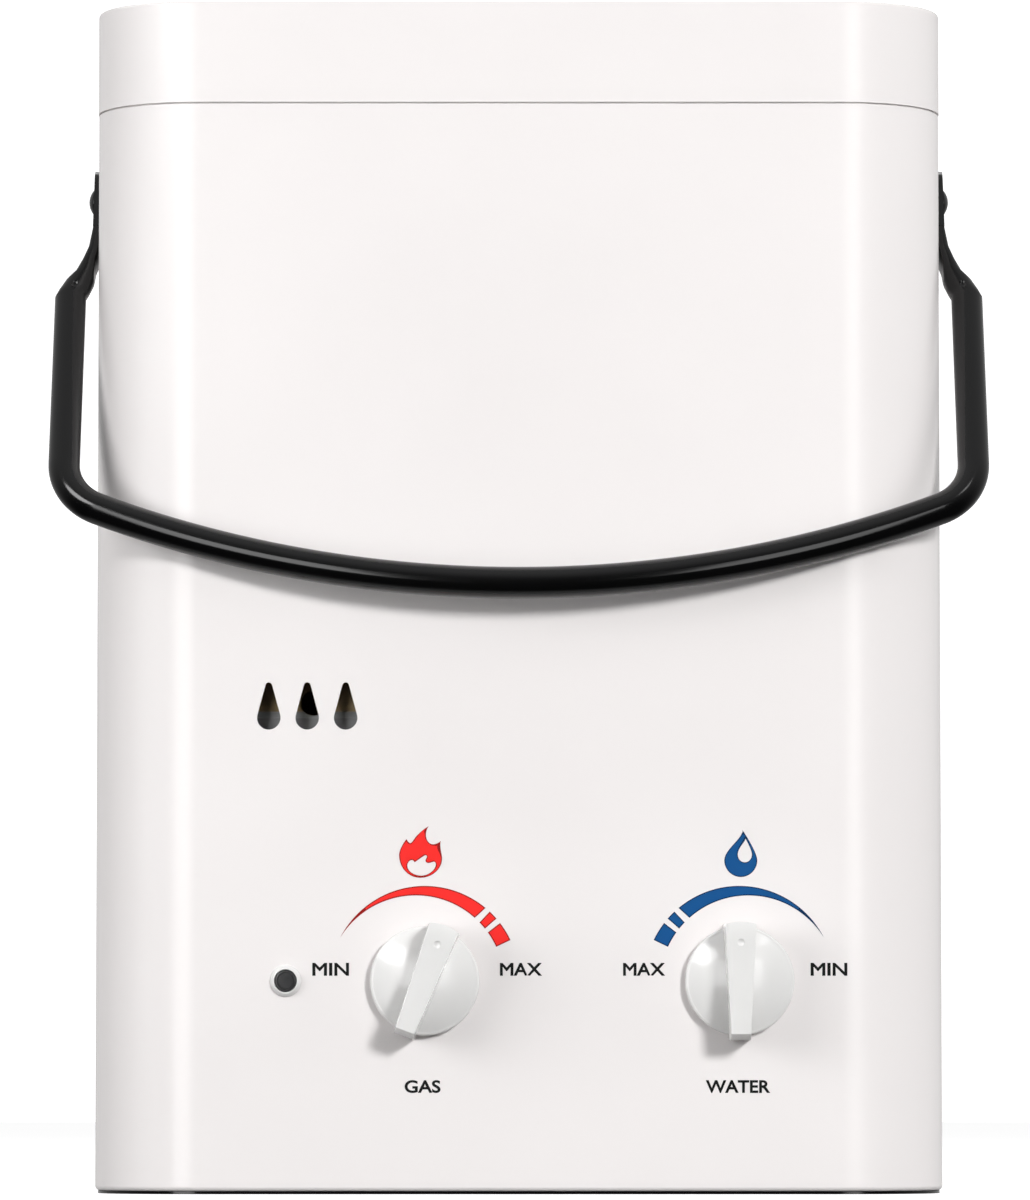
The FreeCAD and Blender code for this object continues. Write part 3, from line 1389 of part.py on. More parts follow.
def make_fittings():
    """Gas inlet, cold inlet and hot outlet, which point down inside the pan's recess,
    with the lock nuts that clamp them to the deck. Each thread ends at its nut and a
    slightly slimmer neck goes through the nut and the deck."""
    tip = size.fitting_tip
    flange = deck + size.fitting_flange
    under = size.pan_rise - size.nut_thick
    relief, chamfer = size.neck_relief, size.thread_chamfer
    gas, bore = size.gas_inlet_round, size.gas_inlet_bore
    shoulder = tip + size.flare_rise
    profile = [
        (bore, tip), (bore + chamfer, tip), (gas - chamfer, shoulder), (gas, shoulder),
        (gas, under), (gas - relief, under), (gas - relief, deck),
        (size.gas_flange, deck), (size.gas_flange, flange), (size.gas_neck, flange),
        (size.gas_neck, gas_valve_low), (bore, gas_valve_low),
    ]
    at = (size.gas_across, size.gas_inlet_depth, 0)
    named(turned("gas_inlet_fitting", profile, at), "gas_inlet_fitting")
    cold, bore = size.water_inlet_round, size.water_inlet_bore
    profile = [
        (bore, tip), (cold - chamfer, tip), (cold, tip + chamfer), (cold, under),
        (cold - relief, under), (cold - relief, deck),
        (size.cold_flange, deck), (size.cold_flange, flange), (size.cold_neck, flange),
        (size.cold_neck, water_valve_low), (bore, water_valve_low),
    ]
    at = (size.water_across, size.water_depth, 0)
    named(turned("water_inlet_fitting", profile, at), "water_inlet_fitting")
    mesh, wall, taper = bore - size.slip, size.strainer_wall, size.strainer_taper
    low = tip + size.strainer_wall
    high = low + size.strainer_tall
    profile = [
        (0, high), (mesh - taper, high), (mesh, low + wall), (mesh, low),
        (mesh - wall, low), (mesh - wall - taper, high - wall), (0, high - wall),
    ]
    named(turned("inlet_strainer", profile, at), "inlet_strainer")
    hot, bore = size.outlet_round, size.outlet_bore
    profile = [
        (bore, tip), (hot - chamfer, tip), (hot, tip + chamfer), (hot, under),
        (hot - relief, under), (hot - relief, deck),
        (size.hot_flange, deck), (size.hot_flange, flange), (size.hot_neck, flange),
        (size.hot_neck, outlet_high), (bore, outlet_high),
    ]
    at = (size.outlet_across, size.outlet_depth, 0)
    named(turned("water_outlet_fitting", profile, at), "water_outlet_fitting")
    nuts = []
    for across, depth, radius, flats in (
        (size.gas_across, size.gas_inlet_depth, gas, size.gas_nut),
        (size.water_across, size.water_depth, cold, size.cold_nut),
        (size.outlet_across, size.outlet_depth, hot, size.hot_nut),
    ):
        nut = new_body(f"fitting_nut_{len(nuts)}")
        hexagon = draw_hexagon(sketch_on(nut, "XY_Plane"), flats)
        draw_circle(hexagon, 0, 0, radius - relief + size.stem_fit)
        pad(nut, hexagon, size.nut_thick)
        nuts.append(place(nut, (across, depth, under)))
    named(group("fitting_nuts", nuts), "fitting_nuts")
    shank, knob = size.drain_round, size.drain_knob_round
    low = size.drain_knob_low
    high = low + size.drain_knob_tall
    plug = [
        (0, low), (knob - chamfer, low), (knob, low + chamfer), (knob, high - chamfer),
        (knob - chamfer, high), (shank, high), (shank, drain_seat), (0, drain_seat),
    ]
    named(turned("drain_plug", plug, (drain_across, size.water_depth, 0)), "drain_plug")


# ---------------------------------------------------------------- gas side

BURNER_COUNT = 8
burner_start = size.burner_pitch * (-(BURNER_COUNT - 1) / 2)
burner_low = tray_low + size.burner_rise
burner_top = chamber_low - size.burner_drop


def make_gas_valve():
    """Cast gas valve with a stem boss at the front and the safety solenoid on its left."""
    across, half = size.gas_across, size.gas_valve_half
    ahead = -size.gas_valve_ahead
    casting = block(
        "gas_valve_block",
        (across - half, ahead, gas_valve_low),
        (across + half, size.gas_valve_behind, gas_valve_high),
    )
    boss_at = (across, ahead + PAST, control_height)
    boss_long = size.valve_front - size.gas_valve_ahead + PAST
    boss = rod("gas_valve_boss", size.gas_boss, boss_long, boss_at, TO_FRONT)
    rounded = doc.addObject("Part::Fillet", "gas_valve_rounded")
    rounded.Base = casting
    doc.recompute()
    corner = size.gas_valve_corner.number
    rounded.Edges = [
        (number, corner, corner)
        for number, edge in enumerate(casting.Shape.Edges, 1)
        if edge.BoundBox.ZLength > corner
    ]
    solid = joined("gas_valve_solid", rounded, boss)
    bore = rod(
        "gas_valve_bore", valve_bore, size.stem_seat + PAST,
        (across, size.stem_seat - size.valve_front, control_height), TO_FRONT,
    )
    rod_bore = rod(
        "gas_valve_rod_bore", size.pushrod_round + size.pushrod_play, size.pushrod_bore + PAST,
        (across + half - size.pushrod_bore, size.water_depth, control_height), TO_RIGHT,
    )
    named(less("gas_valve_body", solid, bore, rod_bore), "gas_valve_body")
    neck, coil = size.solenoid_neck, size.solenoid_round
    step, end, chamfer = size.solenoid_neck_long, size.solenoid_long, size.solenoid_chamfer
    profile = [
        (0, 0), (neck, 0), (neck, step), (coil, step), (coil, end - chamfer),
        (coil - chamfer, end), (0, end),
    ]
    at = (across - half, size.solenoid_depth, control_height)
    named(turned("gas_solenoid", profile, at, TO_LEFT), "gas_solenoid")


def make_gas_manifold():
    """Square manifold under the burners, with a riser and one jet for each bar."""
    half = size.manifold_size / 2
    low, high = manifold_low, manifold_low + size.manifold_size
    depth = size.manifold_depth
    reach = half - burner_start
    bar = block("manifold_bar", (-reach, depth - half, low), (reach, depth + half, high))
    riser_at = (size.gas_across, depth, gas_valve_high)
    riser = rod("manifold_riser", size.riser_round, low - gas_valve_high, riser_at)
    named(joined("gas_manifold", bar, riser), "gas_manifold")
    profile = [(0, 0), (size.jet_round, 0), (size.jet_tip, size.jet_tall), (0, size.jet_tall)]
    jets = []
    for index in range(BURNER_COUNT):
        at = (burner_start + size.burner_pitch * index, depth, high)
        jets.append(turned(f"jet_{index}", profile, at))
    named(group("gas_nozzles", jets), "gas_nozzles")


def make_burner():
    """Burner tray and its row of bars, each with a venturi mouth over its jet."""
    tray = new_body("burner_tray")
    steel = size.tray_steel
    ring = sketch_on(tray, "XY_Plane", tray_low)
    draw_sheet_box(ring, steel)
    pad(tray, ring, chamber_low - tray_low)
    named(tray, "burner_tray")
    bars = new_body("burner_bars")
    half = size.burner_width / 2
    left, right = burner_start - half, burner_start + half
    slope = size.burner_slope
    foot = burner_low + size.burner_foot
    belly = foot + size.burner_belly
    neck = burner_top - size.burner_neck
    section = sketch_on(bars, "XZ_Plane", size.chamber_front - steel)
    draw(
        section,
        (left + slope, burner_low), (right - slope, burner_low), (right, foot),
        (right, belly), (right - slope, neck), (right - slope, burner_top),
        (left + slope, burner_top), (left + slope, neck), (left, belly), (left, foot),
    )
    length = size.chamber_front + size.chamber_rear - steel * 2
    bar = pad(bars, section, length, against=True)
    mouth = sketch_on(bars, "XY_Plane", burner_low - size.mouth_tall)
    draw_circle(mouth, burner_start, size.manifold_depth, size.mouth_round)
    mouth = pad(bars, mouth, size.mouth_tall + PAST, taper=-size.mouth_taper.number)
    repeat(bars, [bar, mouth], "X_Axis", size.burner_pitch, BURNER_COUNT)
    named(bars, "burner_bars")


# ---------------------------------------------------------------- water side

DIAPHRAGM_SCREWS = 6
diaphragm_face = size.water_across - size.diaphragm_reach
diaphragm_outer = diaphragm_face - size.diaphragm_thick
diaphragm_hole = size.casing_screw_round + size.slip


def diaphragm_ring():
    """Offsets of the screws round the diaphragm housing, sideways and upwards."""
    spots = []
    for index in range(DIAPHRAGM_SCREWS):
        angle = 2 * math.pi * (index + 0.5) / DIAPHRAGM_SCREWS
        circle = size.diaphragm_circle
        spots.append((circle * math.cos(angle), circle * math.sin(angle)))
    return spots


def diaphragm_spots(across):
    """Centres of the screws round the diaphragm housing."""
    return [
        (across, size.water_depth + aside, control_height + up)
        for aside, up in diaphragm_ring()
    ]


def make_water_valve():
    """Brass water valve: a barrel over the cold inlet, a boss for the water stem, the
    flange of the diaphragm housing, the riser's outlet and the drain's arm."""
    across, depth, height = size.water_across, size.water_depth, control_height
    low, thick, disc = water_valve_low, size.diaphragm_thick, size.diaphragm_round
    barrel = rod("valve_barrel", size.valve_barrel, water_valve_high - low, (across, depth, low))
    boss_long = size.valve_front + depth
    boss = rod("valve_boss", size.valve_boss, boss_long, (across, depth, height), TO_FRONT)
    neck_at = (diaphragm_face + thick / 2, depth, height)
    neck_long = size.diaphragm_reach - thick / 2
    neck = rod("valve_neck", size.valve_neck, neck_long, neck_at, TO_RIGHT)
    flange = rod("valve_flange", disc, thick, (diaphragm_face, depth, height), TO_RIGHT)
    outlet_at = (across, depth, water_riser)
    outlet = rod("valve_outlet", size.valve_outlet, size.valve_outlet_long, outlet_at, TO_RIGHT)
    arm_height = height - size.drain_arm_drop
    arm = rod("valve_arm", size.drain_arm, size.drain_reach, (across, depth, arm_height), TO_RIGHT)
    drain_long = arm_height + size.drain_wall - drain_seat
    drain = rod("valve_drain", size.drain_wall, drain_long, (drain_across, depth, drain_seat))
    solid = joined("valve_solid", barrel, boss, neck, flange, outlet, arm, drain)
    bore = rod(
        "valve_stem_bore", valve_bore, size.stem_seat + PAST,
        (across, size.stem_seat - size.valve_front, height), TO_FRONT,
    )
    hole_long = thick + PAST * 2
    holes = [
        rod(f"valve_screw_hole_{index}", diaphragm_hole, hole_long, spot, TO_RIGHT)
        for index, spot in enumerate(diaphragm_spots(diaphragm_face - PAST))
    ]
    named(less("water_valve_body", solid, bore, *holes), "water_valve_body")
    cover = new_body("diaphragm_cover")
    guide = size.pushrod_round + size.pushrod_play
    chamfer = size.diaphragm_chamfer
    profile = draw(
        sketch_on(cover, "XZ_Plane"),
        (guide, 0), (disc, 0), (disc, thick - chamfer), (disc - chamfer, thick),
        (size.diaphragm_dome, thick), (size.diaphragm_crown, size.diaphragm_tall),
        (guide, size.diaphragm_tall),
    )
    spin(cover, profile)
    holes = sketch_on(cover, "XY_Plane")
    for aside, up in diaphragm_ring():
        draw_circle(holes, up, aside, diaphragm_hole)
    pocket(cover, holes, against=True)
    place(cover, (diaphragm_face, depth, height), TO_LEFT)
    named(cover, "diaphragm_cover")
    fixing = screw(
        size.diaphragm_screw_head, size.diaphragm_screw_rise,
        size.casing_screw_round, size.diaphragm_screw_long,
    )
    shaped("diaphragm_screws", copies(fixing, diaphragm_spots(diaphragm_outer), TO_LEFT))


def make_pushrod():
    """Rod that the diaphragm pushes towards the gas valve, and the switch it works."""
    depth, height = size.water_depth, control_height
    start = size.gas_across + size.gas_valve_half - size.rod_tip
    span = diaphragm_face - start - size.rod_gap
    stem, collar = size.pushrod_round, size.pushrod_round + size.rod_shoulder
    near, far = size.rod_shoulder_along, size.rod_shoulder_along + size.rod_shoulder_thick
    profile = [
        (0, 0), (stem, 0), (stem, near), (collar, near), (collar, far), (stem, far),
        (stem, span), (0, span),
    ]
    named(turned("water_pushrod", profile, (start, depth, height), TO_RIGHT), "water_pushrod")
    face = start + far + size.pushrod_play
    left, right = face - size.micro_long, face + size.lever_thick
    low = height + size.micro_lift
    high = low + size.micro_tall
    half, slim = size.micro_half, size.lever_half
    body = block("switch_case", (left, depth - half, low), (right, depth + half, high))
    lever = block(
        "switch_lever",
        (face, depth - slim, height + size.lever_lift), (right, depth + slim, low),
    )
    foot = block(
        "switch_foot", (left, size.manifold_depth + size.manifold_size / 2, high),
        (left + size.micro_foot_long, depth + half, high + size.micro_foot),
    )
    named(joined("micro_switch", body, lever, foot), "micro_switch")


def make_pipes():
    """Cold pipe that rises and wraps once round the chamber, and the hot pipe down."""
    radius, bend = size.pipe_round, size.pipe_bend
    depth, tube, stub = size.water_depth, tube_height, chamber_side + size.tube_stub
    right = chamber_side + size.pipe_lane
    wrap = -chamber_side - size.pipe_left
    ahead = -size.chamber_front - size.pipe_ahead
    behind = size.chamber_rear + size.pipe_behind
    start, turn, step = size.water_across + size.valve_outlet_long, pipe_wrap, size.pipe_step
    cold = [
        (start, depth, water_riser), (right, depth, water_riser),
        (right, depth, turn), (right, behind, turn + step), (wrap, behind, turn + step * 2),
        (wrap, ahead, turn + step * 3), (right, ahead, turn + step * 4),
        (right, first_pass, chamber_high), (right, first_pass, tube),
        (stub, first_pass, tube),
    ]
    shaped("cold_pipe", swept(cold, bend, radius))
    last_pass = first_pass + size.tube_pitch * 2
    left, low = -chamber_side - size.hot_lane, tray_low - size.hot_drop
    across, depth = size.outlet_across, size.outlet_depth
    hot = [
        (-stub, last_pass, tube), (left, last_pass, tube), (left, last_pass, low),
        (across, depth, low), (across, depth, outlet_high),
    ]
    shaped("hot_pipe", swept(hot, bend, radius))
    gap = size.pipe_nut_gap
    nuts = []
    for at, turn in (
        ((across, depth, outlet_high + gap), UPRIGHT),
        ((stub + gap, first_pass, tube), TO_RIGHT),
        ((-stub - gap, last_pass, tube), TO_LEFT),
    ):
        nut = new_body(f"pipe_nut_{len(nuts)}")
        hexagon = draw_hexagon(sketch_on(nut, "XY_Plane"), size.pipe_nut)
        draw_circle(hexagon, 0, 0, radius + size.slip)
        pad(nut, hexagon, size.pipe_nut_long)
        nuts.append(place(nut, at, turn))
    named(group("pipe_nuts", nuts), "pipe_nuts")


# ---------------------------------------------------------------- heat side


def draw_sheet_box(sketch, steel):
    """Draw the outline of the chamber's walls, of a given sheet."""
    ahead, behind = -size.chamber_front, size.chamber_rear
    draw_box(sketch, -chamber_side, ahead, chamber_side, behind)
    draw_box(sketch, steel - chamber_side, ahead + steel, chamber_side - steel, behind - steel)


def make_chamber():
    """Open-ended sheet box over the burner, with the sight hole and electrode holes."""
    body = new_body("combustion_chamber")
    ring = sketch_on(body, "XY_Plane", chamber_low)
    draw_sheet_box(ring, size.chamber_steel)
    pad(body, ring, chamber_high - chamber_low)
    holes = sketch_on(body, "XZ_Plane", size.chamber_front + PAST)
    draw_circle(holes, size.sight_across, chamber_low + size.sight_rise, size.sight_round)
    for across in (size.spark_across, size.sensor_across):
        draw_circle(holes, across, electrode_height, size.electrode_round + size.slip * 2)
    pocket(body, holes, size.chamber_steel + PAST * 2)
    named(body, "combustion_chamber")
    half = size.chamber_bracket / 2
    high = pipe_wrap - size.chamber_bracket_drop
    brackets = []
    for across in (-size.chamber_bracket_across, size.chamber_bracket_across):
        low_corner = (across - half, size.chamber_rear, high - size.chamber_bracket)
        high_corner = (across + half, rear - size.back_steel, high)
        brackets.append(block(f"chamber_bracket_{len(brackets)}", low_corner, high_corner))
    named(group("chamber_brackets", brackets), "chamber_brackets")


FIN_COUNT = 22
PASSES = 3


def make_exchanger():
    """Finned heat exchanger: its shell, the fins and the serpentine tube above them."""
    steel, gap, fin_steel = size.chamber_steel, size.fin_gap, size.fin_steel
    tube, height, pitch = size.tube_round, tube_height, size.tube_pitch
    low, high, first = chamber_high, exchanger_high, first_pass
    shell = new_body("exchanger_shell")
    ring = sketch_on(shell, "XY_Plane", low)
    draw_sheet_box(ring, steel)
    pad(shell, ring, high - low)
    holes = sketch_on(shell, "YZ_Plane")
    for index in range(PASSES):
        draw_circle(holes, first + pitch * index, height, tube + size.slip * 3)
    cut = pocket(shell, holes)
    cut.Midplane = True
    named(shell, "exchanger_shell")
    fins = new_body("exchanger_fins")
    fin = sketch_on(fins, "YZ_Plane", gap - chamber_side)
    ahead, behind = steel - size.chamber_front, size.chamber_rear - steel
    draw_box(fin, ahead, low + gap, behind, height - tube)
    fin = pad(fins, fin, fin_steel)
    spacing = (chamber_side - gap - fin_steel / 2) * (2 / (FIN_COUNT - 1))
    repeat(fins, [fin], "X_Axis", spacing, FIN_COUNT)
    named(fins, "exchanger_fins")
    turn_out, stub = chamber_side + size.tube_turn, chamber_side + size.tube_stub
    middle, last = first + pitch, first + pitch * 2
    route = [
        (stub, first, height), (-turn_out, first, height), (-turn_out, middle, height),
        (turn_out, middle, height), (turn_out, last, height), (-stub, last, height),
    ]
    shaped("exchanger_tube", swept(route, pitch / 2 - NEAR, tube))
    disc, thick = size.thermostat_round, size.thermostat_thick
    cap, tall = size.thermostat_cap, size.thermostat_tall
    profile = [(0, 0), (disc, 0), (disc, thick), (cap, thick), (cap, tall), (0, tall)]
    at = (chamber_side, size.thermostat_depth, chamber_high - size.thermostat_drop)
    named(turned("overheat_thermostat", profile, at, TO_RIGHT), "overheat_thermostat")


def make_flue_hood():
    """Tapering hood that gathers the exhaust and turns it to the rear under the cap."""
    body = new_body("flue_hood")
    low, high = exchanger_high, collar_high - size.hood_drop
    wide, behind = chamber_side - size.hood_taper, size.hood_behind
    sections = []
    for inset in (as_size(0), size.chamber_steel):
        half = chamber_side - inset
        lower = sketch_on(body, "XY_Plane", low)
        draw_box(lower, -half, inset - size.chamber_front, half, size.chamber_rear - inset)
        upper = sketch_on(body, "XY_Plane", high)
        draw_box(upper, inset - wide, inset, wide - inset, behind - inset)
        sections.append((lower, upper))
    for kind, (lower, upper) in zip(("Additive", "Subtractive"), sections):
        loft = body.newObject(f"PartDesign::{kind}Loft", f"flue_hood_{kind.lower()}")
        loft.Profile = lower
        loft.Sections = [upper]
        doc.recompute()
    return named(body, "flue_hood")


# ---------------------------------------------------------------- electrical side


def make_electrodes():
    """Spark electrode and flame sensor, held by one bracket on the chamber's front."""
    wire, ceramic, stud = size.electrode_wire, size.electrode_round, size.electrode_stud
    end = size.electrode_long
    for label, across, tip in (
        ("spark_electrode", size.spark_across, size.spark_long),
        ("flame_sensor", size.sensor_across, size.sensor_long),
    ):
        profile = [
            (0, -tip), (wire, -tip), (wire, 0), (ceramic, 0), (ceramic, end),
            (stud, end), (stud, end + stud), (0, end + stud),
        ]
        at = (across, size.electrode_out - size.chamber_front, electrode_height)
        named(turned(label, profile, at, TO_FRONT), label)
    body = new_body("electrode_bracket")
    plate = sketch_on(body, "XZ_Plane", size.chamber_front)
    half, past = size.electrode_plate_half, size.electrode_plate_end
    draw_box(
        plate,
        size.spark_across - past, electrode_height - half,
        size.sensor_across + past, electrode_height + half,
    )
    for across in (size.spark_across, size.sensor_across):
        draw_circle(plate, across, electrode_height, ceramic + size.slip)
    pad(body, plate, size.electrode_plate)
    named(body, "electrode_bracket")


def make_battery_box():
    """Case for two upright D cells, closed from below by a hinged door."""
    across, depth = size.battery_across, size.battery_depth
    half, deep, wall = battery_half, battery_deep, size.case_wall
    high = deck + size.case_tall
    outer = block(
        "case_outer",
        (across - half - wall, depth - deep - wall, deck),
        (across + half + wall, depth + deep + wall, high),
    )
    inner = block(
        "case_inner",
        (across - half, depth - deep, deck - PAST), (across + half, depth + deep, high - wall),
    )
    named(less("battery_case", outer, inner), "battery_case")
    bottom = high - wall - size.cell_tall - size.cell_room
    cell, edge, cap, top = size.cell_round, size.cell_edge, size.cell_cap, size.cell_tall
    shoulder = top - size.cell_cap_rise
    profile = [
        (0, 0), (cell - edge, 0), (cell, edge), (cell, shoulder - edge),
        (cell - edge, shoulder), (cap, shoulder), (cap, top), (0, top),
    ]
    cells = []
    for hand in (-1, 1):
        spot = (across + hand * size.cell_pitch / 2, depth, bottom)
        cells.append(turned(f"cell_{len(cells)}", profile, spot))
    named(group("battery_cells", cells), "battery_cells")
    door_top = size.pan_rise - size.door_gap
    make_battery_door(door_top)
    tall = bottom - door_top - size.slip
    profile = [(0, 0), (size.spring_round, 0), (size.spring_tip, tall), (0, tall)]
    springs = []
    for hand in (-1, 1):
        spot = (across + hand * size.cell_pitch / 2, depth, door_top)
        springs.append(turned(f"contact_spring_{len(springs)}", profile, spot))
    named(group("battery_springs", springs), "battery_springs")


def make_battery_door(door_top):
    """Door under the cells with its hinge pin, the pin's lugs and a finger ridge."""
    across, depth = size.battery_across, size.battery_depth
    half, deep = battery_half, battery_deep
    door_low = door_top - size.door_thick
    pin = depth + deep + size.hinge_out
    pin_height = size.pan_rise - size.door_barrel - size.hinge_drop
    long = half + size.door_lap
    ahead = depth - deep - size.door_lap
    leaf = block("door_leaf", (across - long, ahead, door_low), (across + long, pin, door_top))
    barrel_at = (across - long, pin, pin_height)
    barrel = rod("door_barrel", size.door_barrel, long * 2, barrel_at, TO_RIGHT)
    near = ahead + size.ridge_set
    ridge = block(
        "door_ridge",
        (across - size.ridge_half, near, door_low - size.ridge_side),
        (across + size.ridge_half, near + size.ridge_side, door_low),
    )
    bore_at = (across - long - PAST, pin, pin_height)
    bore_round = size.hinge_pin + size.hinge_play
    bore = rod("door_bore", bore_round, (long + PAST) * 2, bore_at, TO_RIGHT)
    solid = joined("door_solid", leaf, barrel, ridge)
    named(less("battery_door", solid, bore), "battery_door")
    reach = half + size.lug_far
    pin_at = (across - reach, pin, pin_height)
    hinge_pin = rod("battery_hinge_pin", size.hinge_pin, reach * 2, pin_at, TO_RIGHT)
    named(hinge_pin, "battery_hinge_pin")
    lug = size.lug_half
    lugs = []
    for hand in (-1, 1):
        edge, end = across + hand * (half + size.lug_near), across + hand * reach
        left, right = (edge, end) if hand > 0 else (end, edge)
        plate = block(
            f"hinge_lug_{len(lugs)}",
            (left, pin - lug, pin_height - lug), (right, pin + lug, size.pan_rise),
        )
        hole_at = (left - PAST, pin, pin_height)
        hole_long = size.lug_far - size.lug_near + PAST * 2
        hole_round = size.hinge_pin + size.stem_fit
        hole = rod(f"hinge_lug_hole_{len(lugs)}", hole_round, hole_long, hole_at, TO_RIGHT)
        lugs.append(less(f"hinge_lug_drilled_{len(lugs)}", plate, hole))
    named(group("hinge_lugs", lugs), "hinge_lugs")


def make_electronics():
    """Igniter module and tip-over switch on the rear sheet, and the leads between."""
    back = rear - size.back_steel
    right = side - size.cover_steel - size.cover_flange - size.module_gap
    left, near = right - size.module_wide, back - size.module_deep
    low = deck + size.module_rise
    top = low + size.module_tall
    named(block("igniter_module", (left, near, low), (right, back, top)), "igniter_module")
    corner = (size.tilt_across, back - size.tilt_deep, low)
    far = (size.tilt_across + size.tilt_side, back, low + size.tilt_side)
    named(block("tip_over_switch", corner, far), "tip_over_switch")
    lead, gap = size.lead_round, size.slip * 2
    ahead = -size.chamber_front - size.electrode_out
    wires = []
    for index, across in enumerate((size.spark_across, size.sensor_across)):
        shift = size.lead_pitch * index
        level, lane = tray_low + size.lead_rise + shift, right - size.lead_in + shift
        middle = back - size.module_deep / 2
        wires.append(swept([
            (lane, middle, top), (lane, middle, level), (lane, ahead, level),
            (across, ahead, level),
            (across, ahead, electrode_height - size.electrode_round - gap),
        ], size.lead_bend, lead))
    case_edge = size.battery_across + battery_half + size.case_wall
    row, level = size.battery_depth + battery_deep - lead, deck + size.battery_lead_rise
    wires.append(swept([
        (case_edge + gap, row, level), (left - gap, row, level),
    ], size.lead_bend, lead))
    row, level = front + size.barrel_long + size.button_lead_in, deck + size.button_lead_rise
    across, end = size.button_across, right - size.button_lead_end
    wires.append(swept([
        (across, row, control_height - size.switch_half - gap),
        (across, row, level), (end, row, level),
        (end, near - gap, deck + size.button_lead_end),
    ], size.lead_bend, lead))
    shaped("wiring_harness", Part.makeCompound(wires))


def make_all():
    """Make every sub-part."""
    make_front_cover()
    make_back_panel()
    make_rain_cap()
    make_top_collar()
    make_bottom_pan()
    make_wall_bracket()
    make_screws()
    make_bail_handle()
    make_pivots()
    make_knob("gas_knob", size.gas_across, size.gas_turn.number)
    make_stem("gas_valve_stem", size.gas_across, size.gas_turn.number)
    make_knob("water_knob", size.water_across, 0)
    make_stem("water_valve_stem", size.water_across, 0)
    make_power_button()
    make_fittings()
    make_gas_valve()
    make_gas_manifold()
    make_burner()
    make_water_valve()
    make_pushrod()
    make_pipes()
    make_chamber()
    make_exchanger()
    make_flue_hood()
    make_electrodes()
    make_battery_box()
    make_electronics()


def check_and_export():
    """Stop on any failed object, then write one STEP file for each sub-part."""
    doc.recompute()
    for thing in doc.Objects:
        states = set(thing.State)
        if states & {"Invalid", "Error"}:
            raise RuntimeError(f"{thing.Name} ({thing.Label}) failed: {sorted(states)}")
    for node in nodes:
        shape = node.Shape
        if shape.isNull() or not shape.isValid() or not shape.Solids:
            raise RuntimeError(f"{node.Label} has no valid solid")
    os.makedirs("parts", exist_ok=True)
    for node in nodes:
        node.Shape.exportStep(f"parts/{node.Label}.step")
    print(len(nodes), "sub-parts written")


make_all()
check_and_export()
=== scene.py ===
import math

import bmesh
import bpy
from bpy.props import FloatProperty, FloatVectorProperty, IntProperty, PointerProperty
from mathutils import Matrix, Vector


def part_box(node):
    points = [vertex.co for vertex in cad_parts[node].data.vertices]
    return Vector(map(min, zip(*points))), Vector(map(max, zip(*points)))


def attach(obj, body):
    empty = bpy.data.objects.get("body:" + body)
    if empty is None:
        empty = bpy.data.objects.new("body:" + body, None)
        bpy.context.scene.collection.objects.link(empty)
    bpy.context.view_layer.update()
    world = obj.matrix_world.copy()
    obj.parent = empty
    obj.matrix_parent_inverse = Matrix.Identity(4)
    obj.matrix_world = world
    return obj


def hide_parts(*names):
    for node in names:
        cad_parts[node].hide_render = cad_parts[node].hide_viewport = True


bl_info = {
    "name": "Propane Water Heater",
    "version": (1, 0, 0),
    "blender": (4, 5, 0),
    "location": "View3D > Sidebar > Water Heater",
    "description": "Dresses the packed frame of a portable propane water heater",
    "category": "Add Mesh",
}

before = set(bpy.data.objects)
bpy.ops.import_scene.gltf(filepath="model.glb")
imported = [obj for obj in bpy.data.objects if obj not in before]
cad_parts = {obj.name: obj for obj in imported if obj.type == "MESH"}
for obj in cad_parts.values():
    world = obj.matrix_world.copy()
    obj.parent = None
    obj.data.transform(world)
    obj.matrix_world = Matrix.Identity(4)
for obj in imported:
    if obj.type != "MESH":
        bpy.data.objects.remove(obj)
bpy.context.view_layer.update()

MM = 0.001
NEAR = 0.02 * MM  # lengths that differ by less are the same
TOOL = 8 * MM  # length of a tool that cuts through a sheet
SHARP = 35.0  # degrees from which an edge stays sharp
TO_FRONT = Matrix.Rotation(math.radians(90), 4, "X")
TO_RIGHT = Matrix.Rotation(math.radians(90), 4, "Y")
TO_BACK = Matrix.Rotation(math.radians(-90), 4, "X")


# ---------------------------------------------------------------- sizes and colours


def length(name, description, millimetres):
    """Property for a length in metres, given here in millimetres."""
    return FloatProperty(
        name=name, description=description, default=millimetres * MM, unit="LENGTH",
        precision=5,
    )


def turn(name, description, degrees):
    """Property for an angle."""
    return FloatProperty(
        name=name, description=description, default=math.radians(degrees),
        subtype="ANGLE",
    )


def tint(name, description, colour):
    """Property for a colour."""
    return FloatVectorProperty(
        name=name, description=description, default=colour, size=3, min=0.0, max=1.0,
        subtype="COLOR",
    )


def number(name, description, value):
    """Property for a plain number."""
    return FloatProperty(name=name, description=description, default=value)


